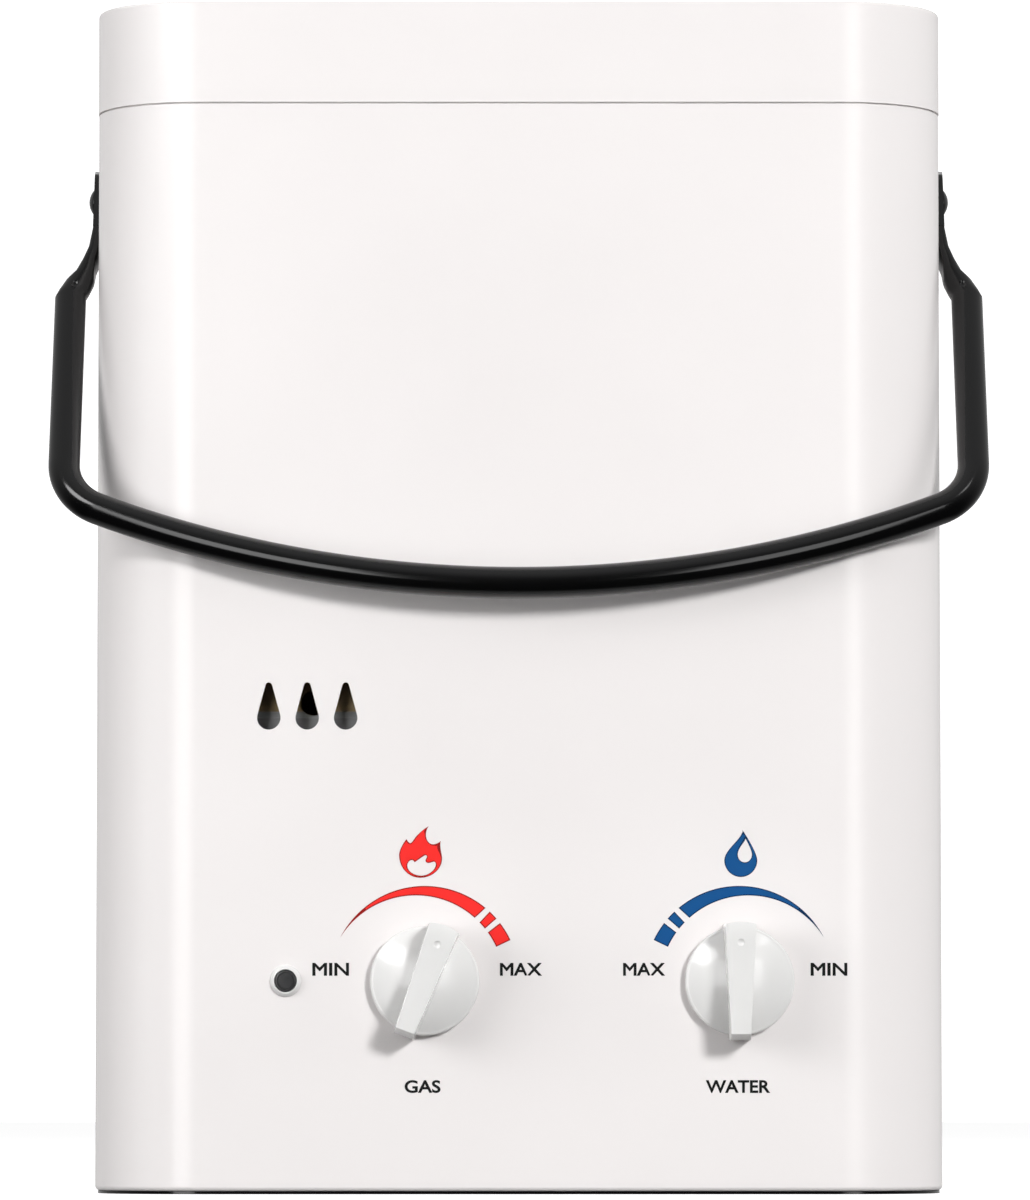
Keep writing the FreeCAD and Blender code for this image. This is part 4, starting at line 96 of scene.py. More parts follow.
class CasingSizes(bpy.types.PropertyGroup):
    """Sizes of the painted cover and its cap."""

    corner_round: length("Corner radius", "Radius of the two front uprights", 38.0)
    steel: length("Sheet", "Thickness of the painted steel", 1.0)
    hem: length("Hem", "Width of the hem turned in at the foot", 6.0)
    hem_bend: length("Hem bend", "Outer radius of the bend at the foot", 1.8)
    flange: length("Rear flange", "Width of the flanges turned in at the back", 13.0)
    cap_round: length("Cap edge", "Radius of the edge round the cap's top", 1.5)
    cap_rear_round: length("Cap rear radius", "Radius of the cap's rear uprights", 1.2)
    paint_edge: length("Painted edge", "Radius that the paint gives a cut edge", 0.28)
    window_left: length("First window", "Place of the left sight window", -90.2)
    window_pitch: length("Window pitch", "Distance from window to window", 13.87)
    window_low: length("Window height", "Height of the windows' round ends", 171.3)
    window_round: length("Window radius", "Radius of a window's round end", 4.23)
    window_tip: length("Window tip", "Radius of a window's narrow end", 1.2)
    window_tall: length("Window rise", "From the round end's middle to the tip's", 11.6)
    stem_window: length("Stem hole", "Radius of the holes for the valve stems", 8.0)
    slot_pitch: length("Slot pitch", "Distance between the exhaust slots", 14.0)
    slot_low: length("Slot foot", "Height of the slots' lower ends", 407.0)
    slot_high: length("Slot head", "Height of the slots' upper ends", 427.0)
    slot_round: length("Slot radius", "Radius of the ends of the exhaust slots", 3.0)
    slots: IntProperty(name="Slots", description="Exhaust slots in a row", default=17)


class HandleSizes(bpy.types.PropertyGroup):
    """Sizes of the swinging tube handle."""

    pivot: length("Pivot height", "Height of the two pivots", 365.9)
    tube: length("Tube radius", "Radius of the bent tube", 5.75)
    across: length("Arm", "From the middle of the casing to an arm", 164.9)
    bend: length("Bend radius", "Radius of the two corner bends", 21.0)
    bow: length("Bow radius", "Radius of the shallow cross bar", 383.0)
    drop: length("Drop", "From the pivots to the middle of the cross bar", 166.6)
    arm_top: length("Arm top", "Where the round tube begins, below the pivot", 43.0)
    tab_inner: length("Tab place", "Inner face of the flattened ends", 154.75)
    tab_thick: length("Tab thickness", "Thickness of the flattened ends", 2.4)
    tab_wide: length("Tab width", "Width of the flattened ends", 17.0)
    tab_rise: length("Tab rise", "Height of the tab's top above the pivot", 11.9)
    tab_bend: length("Tab bend", "Where the tube begins to swell", 16.0)
    dent: length("Dent radius", "Radius of the pinch where the tube flattens", 2.4)
    dent_across: length("Dent place", "From the middle to the pinch", 163.0)
    dent_drop: length("Dent drop", "Below the pivot to the pinch", 40.5)
    dent_out: length("Dent distance", "From the arm's middle to the pinch", 7.7)
    bore: length("Pivot bore", "Radius of the hole for the pivot screw", 3.2)
    lean: turn("Lean", "How far the resting handle leans forward", 28.2)


class ControlSizes(bpy.types.PropertyGroup):
    """Sizes of the knobs and of the push button."""

    height: length("Control height", "Height of the knobs and the button", 76.5)
    gas_across: length("Gas knob", "Place of the gas knob across the front", -33.85)
    water_across: length("Water knob", "Place of the water knob", 79.4)
    button_across: length("Button", "Place of the push button", -83.9)
    gas_turn: turn("Gas pointer", "How far the gas knob is turned clockwise", 20.7)
    knob_round: length("Knob radius", "Radius of the knob's disc", 19.65)
    knob_rim: length("Knob rim", "Height of the disc's rim", 4.6)
    knob_dome: length("Knob crown", "Height of the disc's domed middle", 9.4)
    grip_high: length("Grip height", "Height of the grip over the front", 20.0)
    grip_point: length("Grip nose", "From the knob's middle to the pointer", 20.9)
    grip_tail: length("Grip tail", "From the knob's middle to the grip's tail", 21.3)
    grip_wide: length("Grip width", "Width of the grip at its nose", 12.0)
    grip_narrow: length("Tail width", "Width of the grip at its tail", 7.9)
    grip_edge: length("Grip edge", "Radius of the grip's edges", 0.6)
    grip_foot: length("Grip foot", "Foot of the grip inside the disc", 0.4)
    grip_draft: turn("Grip draft", "How far the grip's sides lean in", 1.5)
    tail_drop: length("Tail drop", "Slope at the tail below the grip's top", 3.5)
    tail_set: length("Tail set", "Length of that slope", 2.0)
    nose_long: length("Nose length", "From the pointer to where the top falls", 6.0)
    nose_round: length("Nose radius", "Radius of that fall", 26.0)
    dimple_along: length("Dimple place", "From the knob's middle to the dimple", 13.5)
    dimple_round: length("Dimple radius", "Radius of the round dimple", 1.35)
    dimple_deep: length("Dimple depth", "Depth of the dimple", 0.6)
    knob_gap: length("Knob gap", "Gap between the front and the knob", 0.6)
    knob_foot: length("Knob foot", "How far the disc draws in at its foot", 0.9)
    knob_edge: length("Knob edge", "Radius of the disc's outer edge", 1.2)
    ring_round: length("Ring radius", "Radius of the push button's ring", 5.7)
    ring_bore: length("Ring bore", "Radius of the ring's bore", 4.1)
    ring_high: length("Ring height", "Height of the ring over the front", 2.0)
    button_round: length("Plunger radius", "Radius of the push button", 3.85)
    button_high: length("Plunger height", "Height of the button over the front", 1.8)


class FittingSizes(bpy.types.PropertyGroup):
    """Sizes of the screws, the threaded fittings and the drain plug."""

    screw_head: length("Screw head", "Radius of the casing screws' heads", 3.6)
    screw_shank: length("Screw shank", "Radius of those screws' shanks", 1.6)
    screw_rise: length("Screw rise", "Height of those heads", 2.0)
    screw_pitch: length("Screw pitch", "Distance between the screws of one side", 106.0)
    cap_pitch: length("Cap screw pitch", "Distance between the cap's screws", 110.0)
    recess: length("Recess", "Half the span of a head's cross recess", 2.1)
    tip: length("Fitting tip", "Height of the fittings' lower ends", 8.0)
    under: length("Nut height", "Height of the lock nuts' lower faces", 37.0)
    deck: length("Deck", "Height of the pan's deck", 43.0)
    flange: length("Flange", "Thickness of the fittings' flanges on the deck", 4.0)
    relief: length("Relief", "How much slimmer the neck is than the thread", 0.6)
    thread_deep: length("Thread depth", "Depth of the threads", 0.9)
    plug_round: length("Plug radius", "Radius of the drain plug's grip", 9.0)
    plug_tall: length("Plug height", "Height of that grip", 12.0)
    plug_shank: length("Plug shank", "Radius of the drain plug's shank", 5.0)
    flute: length("Flute", "Depth of the flutes round the grip", 0.7)


class PrintSizes(bpy.types.PropertyGroup):
    """Sizes and colours of what is printed on the front."""

    film: length("Ink film", "Thickness of the printed ink", 0.05)
    scale_round: length("Scale radius", "Outer radius of the scales", 34.2)
    letter: length("Letter height", "Height of the capitals", 4.65)
    weight: number("Letter weight", "How far the letters' strokes are thickened", 0.27)
    outline: length("Outline", "Width of the darker line round a print", 0.4)
    red: tint("Gas red", "Colour of the gas scale and flame", (0.93, 0.028, 0.024))
    blue: tint("Water blue", "Colour of the water scale", (0.006, 0.082, 0.265))
    black: tint("Lettering", "Colour of the words", (0.006, 0.006, 0.006))


class FinishSettings(bpy.types.PropertyGroup):
    """Colours of the finishes."""

    enamel: tint("Enamel", "Baked enamel of the casing", (0.865, 0.832, 0.826))
    plastic: tint("White plastic", "Plastic of knobs and ring", (0.8, 0.795, 0.785))
    powder: tint("Black coat", "Coat of handle and pan", (0.0014, 0.0014, 0.0016))


class StudioSettings(bpy.types.PropertyGroup):
    """Places and strengths of the camera and the lights."""

    distance: length("Camera distance", "From the middle of the heater", 2688.9)
    across: length("Camera across", "Place of the camera across the front", -1.37)
    height: length("Camera height", "Height of the camera", 35.6)
    pitch: turn("Camera pitch", "How far the camera looks up", 3.885)
    lens: number("Lens", "Focal length in mm", 218.64)
    room: number("Room", "Light from above and behind", 0.55)
    room_below: number("Room below", "Light from below", 0.5)
    room_front: number("Room front", "Light from ahead", 0.03)
    backdrop: number("Backdrop", "Brightness behind", 1.0)
    floor: number("Floor", "Glow of the pale floor", 0.75)
    key: number("Key", "Brightness of the main light", 76.5)
    key_wide: length("Key size", "Width of the main light", 570.0)
    fill: number("Fill", "Brightness of the left light", 6.1)
    front: number("Front", "Brightness of the front light", 0.4)
    rear: number("Rear", "Brightness of the rear lights", 3.0)


GROUPS = (
    ("heater_casing", CasingSizes),
    ("heater_handle", HandleSizes),
    ("heater_controls", ControlSizes),
    ("heater_fittings", FittingSizes),
    ("heater_prints", PrintSizes),
    ("heater_finishes", FinishSettings),
    ("heater_studio", StudioSettings),
)


# ---------------------------------------------------------------- mesh helpers


def near(value, other):
    """Whether two lengths are the same but for rounding."""
    return abs(value - other) < NEAR


def ordered(items):
    """Each item once, in the order it came, so that every run makes the same mesh."""
    return list(dict.fromkeys(items))


def verts_in(items):
    """The vertices among what an operator returns."""
    return [item for item in items if isinstance(item, bmesh.types.BMVert)]


def edges_in(items):
    """The edges among what an operator returns."""
    return [item for item in items if isinstance(item, bmesh.types.BMEdge)]


def edges_at(spots):
    """Edges that meet any of some vertices."""
    return ordered(edge for spot in spots for edge in spot.link_edges)


def lies(part, axis, place):
    """Whether an edge or a face lies at one place along an axis."""
    return all(near(getattr(spot.co, axis), place) for spot in part.verts)


def keeps(edge, *axes):
    """Whether an edge's two ends have the same place along each of some axes."""
    return all(lies(edge, axis, getattr(edge.verts[0].co, axis)) for axis in axes)


def soften(bm, edges, radius, segments):
    """Round a group of edges."""
    bmesh.ops.bevel(
        bm, geom=edges, offset=radius, offset_type="OFFSET", segments=segments,
        profile=0.5, affect="EDGES", material=-1, clamp_overlap=True,
    )


def box(bm, low, high):
    """Add a block between two corners and return its vertices."""
    low, high = Vector(low), Vector(high)
    corners = bmesh.ops.create_cube(bm, size=1.0)["verts"]
    bmesh.ops.scale(bm, vec=high - low, verts=corners)
    bmesh.ops.translate(bm, vec=(low + high) / 2, verts=corners)
    return corners


def chain(bm, points):
    """Join points of the XZ plane by edges, as the profile of a lathe."""
    spots = [bm.verts.new((across, 0.0, up)) for across, up in points]
    return [bm.edges.new(pair) for pair in zip(spots, spots[1:])]


def arc(bm, start, centre, angle, steps, axis=(0.0, 1.0, 0.0)):
    """Spin a vertex about a centre, and return the last vertex."""
    swung = bmesh.ops.spin(
        bm, geom=[start], cent=centre, axis=axis, angle=angle, steps=steps
    )
    return verts_in(swung["geom_last"])[0]


def pull(bm, faces, way):
    """Draw flat faces out into a solid, and return its far vertices."""
    spots = verts_in(bmesh.ops.extrude_face_region(bm, geom=faces)["geom"])
    bmesh.ops.translate(bm, vec=way, verts=spots)
    return spots


def inset(bm, faces, width):
    """Give flat faces a border inside their outline, and return its faces."""
    return bmesh.ops.inset_region(
        bm, faces=faces, thickness=width, use_boundary=True, use_even_offset=True
    )["faces"]


def lathe(bm, steps):
    """Spin everything in the mesh full turn about Z into a closed skin."""
    bmesh.ops.spin(
        bm, geom=bm.verts[:] + bm.edges[:], cent=(0.0, 0.0, 0.0),
        axis=(0.0, 0.0, 1.0), angle=math.tau, steps=steps, use_merge=True,
    )
    bmesh.ops.remove_doubles(bm, verts=bm.verts, dist=0.1 * NEAR)
    bmesh.ops.dissolve_degenerate(bm, edges=bm.edges, dist=0.1 * NEAR)
    bmesh.ops.recalc_face_normals(bm, faces=bm.faces)


def ball_of(across, rise):
    """Radius of the ball whose cap has one radius and height."""
    return (across**2 + rise**2) / (2 * rise)


def domed(bm, top, across, rise, profile, steps, around):
    """Lathe a dome of one height and radius, and the profile that goes on below it."""
    ball = ball_of(across, rise)
    apex = bm.verts.new((0.0, 0.0, top))
    rim = arc(bm, apex, (0.0, 0.0, top - ball), math.asin(across / ball), steps)
    below = chain(bm, profile)
    bm.edges.new((rim, below[0].verts[0]))
    lathe(bm, around)


def add_copies(bm, mesh, places):
    """Add a mesh at each of some places, and let it go."""
    for place in places:
        copy = mesh.copy()
        copy.transform(place)
        bm.from_mesh(copy)
        bpy.data.meshes.remove(copy)
    bpy.data.meshes.remove(mesh)


def add_mesh(bm, other, *places):
    """Add another bmesh, where it is or at each of some places, and let it go."""
    mesh = bpy.data.meshes.new("part")
    other.to_mesh(mesh)
    other.free()
    add_copies(bm, mesh, places or [Matrix.Identity(4)])


def loop_at(bm, radius, up):
    """Edges of the ring that lies at one radius and height of a lathe."""

    def on_ring(spot):
        flat = math.hypot(spot.co.x, spot.co.y)
        return near(flat, radius) and near(spot.co.z, up)

    return [edge for edge in bm.edges if all(on_ring(spot) for spot in edge.verts)]


def new_piece(name, bm, *finishes, sharp=SHARP):
    """Turn a bmesh into an object that is smooth but for its sharp edges."""
    mesh = bpy.data.meshes.new(name)
    bm.to_mesh(mesh)
    bm.free()
    piece = bpy.data.objects.new(name, mesh)
    bpy.context.scene.collection.objects.link(piece)
    for item in finishes:
        mesh.materials.append(item)
    shade(piece, sharp)
    return piece


def shade(piece, sharp=SHARP):
    """Smooth a piece's faces and keep the edges over an angle sharp."""
    old = piece.data.attributes.get("custom_normal")
    if old:
        piece.data.attributes.remove(old)
    piece.data.shade_smooth()
    piece.data.set_sharp_from_angle(angle=math.radians(sharp))


def mesh_of(item):
    """Mesh that an object has after its modifiers."""
    graph = bpy.context.evaluated_depsgraph_get()
    return bpy.data.meshes.new_from_object(item.evaluated_get(graph), depsgraph=graph)


def settle(piece):
    """Turn a piece's modifiers into its own mesh."""
    before = piece.data
    piece.data = mesh_of(piece)
    piece.modifiers.clear()
    bpy.data.meshes.remove(before)
    return piece


def combine(piece, tool, operation="DIFFERENCE"):
    """Cut a tool out of a piece, or join the two, and leave one mesh."""
    step = piece.modifiers.new(operation.lower(), "BOOLEAN")
    step.operation = operation
    step.solver = "EXACT"
    step.object = tool
    settle(piece)
    shape = tool.data
    bpy.data.objects.remove(tool)
    bpy.data.meshes.remove(shape)
    if not piece.data.polygons:
        raise RuntimeError(f"{piece.name} is empty after {operation.lower()}")
    return piece


def tidy(piece):
    """Take out the slivers that a cut leaves, which would spoil the shading."""
    bm = bmesh.new()
    bm.from_mesh(piece.data)
    bmesh.ops.remove_doubles(bm, verts=bm.verts, dist=NEAR)
    bmesh.ops.dissolve_degenerate(bm, edges=bm.edges, dist=NEAR)
    bm.to_mesh(piece.data)
    bm.free()
    return piece


def wall(piece, thick):
    """Give a skin its thickness, inwards."""
    step = piece.modifiers.new("sheet", "SOLIDIFY")
    step.thickness = thick
    step.offset = -1.0
    step.use_even_offset = True
    return settle(piece)


def ease(piece, radius, segments=2, over=40.0):
    """Round the sharp edges of a finished shape and keep its flats flat."""
    step = piece.modifiers.new("edges", "BEVEL")
    step.width = radius
    step.segments = segments
    step.limit_method = "ANGLE"
    step.angle_limit = math.radians(over)
    step.use_clamp_overlap = True
    step.miter_outer = "MITER_ARC"
    return even_out(settle(piece))


def even_out(piece, sharp=SHARP):
    """Shade a piece so that its large faces look flat beside their rounded edges."""
    shade(piece, sharp)
    step = piece.modifiers.new("flats", "WEIGHTED_NORMAL")
    step.keep_sharp = True
    step.weight = 60
    return settle(piece)


def single_finish(piece):
    """Keep only the first of the finishes that joined shapes brought along."""
    first = piece.data.materials[0]
    piece.data.materials.clear()
    piece.data.materials.append(first)
    for face in piece.data.polygons:
        face.material_index = 0


def put(piece, matrix):
    """Move a piece's mesh, and leave its object at the origin."""
    piece.data.transform(matrix)
    return piece


def done(piece, body, slot, *nodes):
    """Seat a finished piece on its body, in place of the CAD nodes it shows."""
    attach(piece, body)
    if nodes:
        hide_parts(*nodes)
    return piece


# ---------------------------------------------------------------- finishes


def finish_of(name, colour, **values):
    """Start a material, with its uniform values on the shader's own sockets."""
    material = bpy.data.materials.get(name)
    if material:
        return material, None, None
    material = bpy.data.materials.new(name)
    material.use_nodes = True
    tree = material.node_tree
    shader = tree.nodes["Principled BSDF"]
    shader.inputs["Base Color"].default_value = (*colour, 1.0)
    for socket, value in values.items():
        shader.inputs[socket.replace("_", " ")].default_value = value
    material.diffuse_color = (*colour, 1.0)
    return material, tree, shader


def pattern(tree, kind="ShaderNodeTexNoise", stretch=(1.0, 1.0, 1.0), **values):
    """Texture on the object's own coordinates, in metres."""
    place = tree.nodes.new("ShaderNodeTexCoord")
    mapping = tree.nodes.new("ShaderNodeMapping")
    mapping.inputs["Scale"].default_value = stretch
    texture = tree.nodes.new(kind)
    for socket, value in values.items():
        texture.inputs[socket].default_value = value
    tree.links.new(place.outputs["Object"], mapping.inputs["Vector"])
    tree.links.new(mapping.outputs["Vector"], texture.inputs["Vector"])
    return texture


def vary(tree, factor, socket, low, high, span=(0.3, 0.7)):
    """Drive a shader socket between two values by a pattern."""
    reach = tree.nodes.new("ShaderNodeMapRange")
    reach.inputs["From Min"].default_value = span[0]
    reach.inputs["From Max"].default_value = span[1]
    reach.inputs["To Min"].default_value = low
    reach.inputs["To Max"].default_value = high
    tree.links.new(factor, reach.inputs["Value"])
    tree.links.new(reach.outputs["Result"], socket)


def blotch(tree, factor, socket, low, high, span=(0.3, 0.7)):
    """Drive a colour socket between two colours by a pattern."""
    ramp = tree.nodes.new("ShaderNodeValToRGB")
    for item, place, colour in zip(ramp.color_ramp.elements, span, (low, high)):
        item.position = place
        item.color = (*colour, 1.0)
    tree.links.new(factor, ramp.inputs["Fac"])
    tree.links.new(ramp.outputs["Color"], socket)


def emboss(tree, shader, height, distance, strength):
    """Raise the surface by a pattern."""
    bump = tree.nodes.new("ShaderNodeBump")
    bump.inputs["Distance"].default_value = distance
    bump.inputs["Strength"].default_value = strength
    tree.links.new(height, bump.inputs["Height"])
    tree.links.new(bump.outputs["Normal"], shader.inputs["Normal"])


def toned(colour, factor):
    """A colour made lighter or darker."""
    return tuple(min(1.0, part * factor) for part in colour)


def clouded(name, colour, tones, rough, cloud, grain=None, relief=(), worn=False,
            **values):
    """Finish of two tones in soft clouds under a fine grain. Its gloss varies by the
    clouds, or by the grain where the surface is worn."""
    material, tree, shader = finish_of(name, colour, Roughness=rough[0], **values)
    if tree:
        patches = marks = pattern(tree, **cloud).outputs["Fac"]
        blotch(tree, patches, shader.inputs["Base Color"], *tones)
        if grain:
            marks = pattern(tree, **grain).outputs["Fac"]
            emboss(tree, shader, marks, *relief)
        vary(tree, marks if worn else patches, shader.inputs["Roughness"], *rough)
    return material


def enamel():
    """Baked white enamel, faintly uneven, with a very fine orange peel."""
    colour = tuple(bpy.context.scene.heater_finishes.enamel)
    return clouded(
        "white_enamel_coat", colour, (toned(colour, 0.985), toned(colour, 1.01)),
        (0.21, 0.27), {"Scale": 9.0, "Detail": 3.0}, {"Scale": 520.0, "Detail": 2.0},
        (0.000004, 0.6), Specular_IOR_Level=0.5,
    )


def moulded_white():
    """Glossy moulded white plastic."""
    colour = tuple(bpy.context.scene.heater_finishes.plastic)
    return clouded(
        "white_moulded_plastic", colour, (toned(colour, 0.98), toned(colour, 1.01)),
        (0.13, 0.17), {"Scale": 60.0, "Detail": 3.0}, {"Scale": 1400.0, "Detail": 2.0},
        (0.000003, 0.5), Specular_IOR_Level=0.6,
    )


def black_coat():
    """Satin black powder coat with its fine grain."""
    colour = tuple(bpy.context.scene.heater_finishes.powder)
    return clouded(
        "black_powder_coat", colour, (toned(colour, 0.85), toned(colour, 1.25)),
        (0.25, 0.35), {"Scale": 70.0, "Detail": 4.0}, {"Scale": 2600.0, "Detail": 3.0},
        (0.000002, 0.3), Specular_IOR_Level=0.0, Coat_Weight=1.0, Coat_Roughness=0.14,
        Coat_IOR=1.5,
    )


def black_gloss():
    """Glossy black plastic of the push button."""
    return clouded(
        "black_gloss_plastic", (0.035, 0.035, 0.036),
        ((0.03, 0.03, 0.031), (0.042, 0.042, 0.043)), (0.16, 0.25),
        {"Scale": 300.0, "Detail": 2.0}, Coat_Weight=0.3, Coat_Roughness=0.05,
    )


def galvanised():
    """Zinc-coated sheet with its crystal spangle."""
    material, tree, shader = finish_of(
        "galvanised_sheet", (0.56, 0.57, 0.58), Metallic=1.0, Roughness=0.42,
    )
    if tree:
        spangle = pattern(tree, "ShaderNodeTexVoronoi", Scale=210.0)
        tone = tree.nodes.new("ShaderNodeSeparateColor")
        tree.links.new(spangle.outputs["Color"], tone.inputs["Color"])
        blotch(tree, tone.outputs["Red"], shader.inputs["Base Color"],
               (0.52, 0.53, 0.55), (0.68, 0.69, 0.70), (0.0, 1.0))
        vary(tree, tone.outputs["Green"], shader.inputs["Roughness"], 0.34, 0.5,
             (0.0, 1.0))
        emboss(tree, shader, tone.outputs["Blue"], 0.00002, 0.3)
    return material


def metal(name, dark, light, rough, scale, stretch=(1.0, 1.0, 1.0), relief=0.00001):
    """Bare metal with a drawn, cast or turned grain."""
    grain = {"stretch": stretch, "Scale": scale, "Detail": 5.0, "Roughness": 0.6}
    return clouded(
        name, light, (dark, light), rough, {"Scale": 25.0, "Detail": 4.0}, grain,
        (relief, 0.4), worn=True, Metallic=1.0,
    )


HEAT_LINE = (0.1742, 0.1747)  # heights between which the grey foot turns brown


def heat_stained():
    """Steel that the fire has stained brown, down to a clean grey band at its foot."""
    material, tree, shader = finish_of(
        "heat_stained_steel", (0.24, 0.19, 0.12), Metallic=1.0, Roughness=0.5,
    )
    if tree:
        grain = pattern(tree, stretch=(1.0, 1.0, 12.0), Scale=300.0, Detail=5.0)
        cloud = pattern(tree, Scale=25.0, Detail=4.0)
        stain = tree.nodes.new("ShaderNodeMix")
        stain.data_type = "RGBA"
        blotch(tree, cloud.outputs["Fac"], stain.inputs["B"],
               (0.42, 0.32, 0.18), (0.72, 0.56, 0.34))
        blotch(tree, grain.outputs["Fac"], stain.inputs["A"],
               (0.32, 0.32, 0.32), (0.43, 0.43, 0.43))
        place = tree.nodes.new("ShaderNodeTexCoord")
        parts = tree.nodes.new("ShaderNodeSeparateXYZ")
        tree.links.new(place.outputs["Object"], parts.inputs["Vector"])
        vary(tree, parts.outputs["Z"], stain.inputs["Factor"], 0.0, 1.0, HEAT_LINE)
        tree.links.new(stain.outputs["Result"], shader.inputs["Base Color"])
        vary(tree, grain.outputs["Fac"], shader.inputs["Roughness"], 0.42, 0.62)
        emboss(tree, shader, grain.outputs["Fac"], 0.00001, 0.4)
    return material


def plain(name, dark, light, rough, scale, relief=0.00001, **values):
    """Moulded, sintered or printed stuff with a fine grain."""
    return clouded(
        name, light, (dark, light), rough, {"Scale": 45.0, "Detail": 3.0},
        {"Scale": scale, "Detail": 4.0}, (relief, 0.4), worn=True, **values,
    )


def ink(name, colour, tone=1.0):
    """Screen-printed ink, a little uneven as it comes through the mesh."""
    colour = tuple(colour)
    return plain(
        name, toned(colour, 0.94 * tone), toned(colour, tone), (0.3, 0.42), 900.0,
        0.000002, Specular_IOR_Level=0.15,
    )


# By material slot: name, dark and light tone, roughness, scale of the grain, and where
# they differ the grain's stretch and height
METALS = {
    "zinc_screw": (
        "zinc_plate", (0.52, 0.52, 0.50), (0.72, 0.72, 0.69), (0.22, 0.4), 700.0,
    ),
    "brass": (
        "turned_brass", (0.56, 0.37, 0.14), (0.80, 0.58, 0.26), (0.16, 0.34), 260.0,
        (1.0, 1.0, 8.0),
    ),
    "cast_aluminium": (
        "cast_aluminium", (0.48, 0.49, 0.50), (0.66, 0.67, 0.68), (0.42, 0.65), 900.0,
        (1.0, 1.0, 1.0), 0.00006,
    ),
    "copper": (
        "drawn_copper", (0.50, 0.20, 0.12), (0.80, 0.40, 0.26), (0.2, 0.42), 300.0,
    ),
    "stainless": (
        "rolled_stainless", (0.34, 0.33, 0.31), (0.52, 0.51, 0.49), (0.3, 0.5), 300.0,
        (1.0, 1.0, 12.0),
    ),
    "dull_steel": (
        "dull_steel", (0.25, 0.25, 0.25), (0.34, 0.34, 0.34), (0.3, 0.5), 300.0,
        (12.0, 1.0, 1.0),
    ),
}

# By material slot: name, dark and light tone, roughness and scale of the grain
PLAINS = {
    "black_plastic": (
        "black_moulded_plastic", (0.02, 0.02, 0.021), (0.045, 0.045, 0.047),
        (0.4, 0.6), 1500.0,
    ),
    "nylon": (
        "natural_nylon", (0.66, 0.65, 0.60), (0.76, 0.75, 0.71), (0.35, 0.5), 700.0,
    ),
    "ceramic": (
        "glazed_ceramic", (0.78, 0.76, 0.70), (0.88, 0.87, 0.83), (0.15, 0.3), 500.0,
    ),
    "cell_sleeve": (
        "cell_sleeve", (0.05, 0.055, 0.065), (0.09, 0.1, 0.12), (0.25, 0.4), 500.0,
    ),
}

COATS = {
    "white_enamel": enamel,
    "black_enamel": black_coat,
    "white_gloss": moulded_white,
    "black_gloss": black_gloss,
    "galvanised": galvanised,
    "heat_stained": heat_stained,
}


def finish(slot):
    """Material for one of the record's material slots."""
    if slot in METALS:
        return metal(*METALS[slot])
    if slot in PLAINS:
        return plain(*PLAINS[slot])
    return COATS[slot]()


# Nodes that take another finish than their slot's
NODE_FINISHES = {
    "top_collar": "white_enamel",
    "combustion_chamber": "heat_stained",
    "burner_tray": "dull_steel",
    "wall_bracket": "zinc_screw",
}


# ---------------------------------------------------------------- casing


FACING = 0.999  # least cosine between a face's normal and the way that it faces
ABOUT = 0.9  # the same, where the edges beside it may be rounded
WINDOWS = 3
SLOT_ENDS = 0.999  # share of a slot's half width that its corners are rounded by
CAP_LAP = 0.2 * MM  # how much wider the cap's front corners are than the cover's
BARREL = 4.95 * MM  # radius of the push button's threaded barrel
BARREL_HOLE = 5.1 * MM


def wrapped(low, high, front_round, rear_round=0.0):
    """Block whose front and rear uprights are rounded."""
    bm = bmesh.new()
    box(bm, low, high)
    for place, radius, segments in ((low.y, front_round, 28), (high.y, rear_round, 4)):
        if radius:
            uprights = [
                edge for edge in bm.edges if lies(edge, "y", place) and keeps(edge, "x")
            ]
            soften(bm, uprights, radius, segments)
    return bm


def faces_facing(bm, direction):
    """Faces that point in one direction."""
    direction = Vector(direction)
    return [face for face in bm.faces if face.normal.dot(direction) > FACING]


def bar(bm, centre, radius, reach, axis=TO_BACK, segments=48):
    """Add a round bar that cuts a hole."""
    matrix = Matrix.Translation(centre) @ axis
    bmesh.ops.create_cone(
        bm, cap_ends=True, segments=segments, radius1=radius, radius2=radius,
        depth=reach, matrix=matrix,
    )


def window_bar(bm, size, across, front):
    """Add the drop-shaped bar that cuts one sight window."""
    rise, start, tip = size.window_tall, size.window_round, size.window_tip
    lean = math.asin((start - tip) / rise)
    cos, sin = math.cos(lean), math.sin(lean)
    low = Vector((across, front, size.window_low))
    high = low + Vector((0.0, 0.0, rise))
    first = bm.verts.new(low + Vector((start * cos, 0.0, start * sin)))
    bottom = arc(bm, first, low, math.pi + 2 * lean, 40)
    second = bm.verts.new(high + Vector((-tip * cos, 0.0, tip * sin)))
    top = arc(bm, second, high, math.pi - 2 * lean, 14)
    bm.edges.new((bottom, second))
    bm.edges.new((top, first))
    outline = [edge for edge in bm.edges if edge.is_wire]
    face = bmesh.ops.contextual_create(bm, geom=outline)["faces"]
    pull(bm, face, (0.0, TOOL, 0.0))


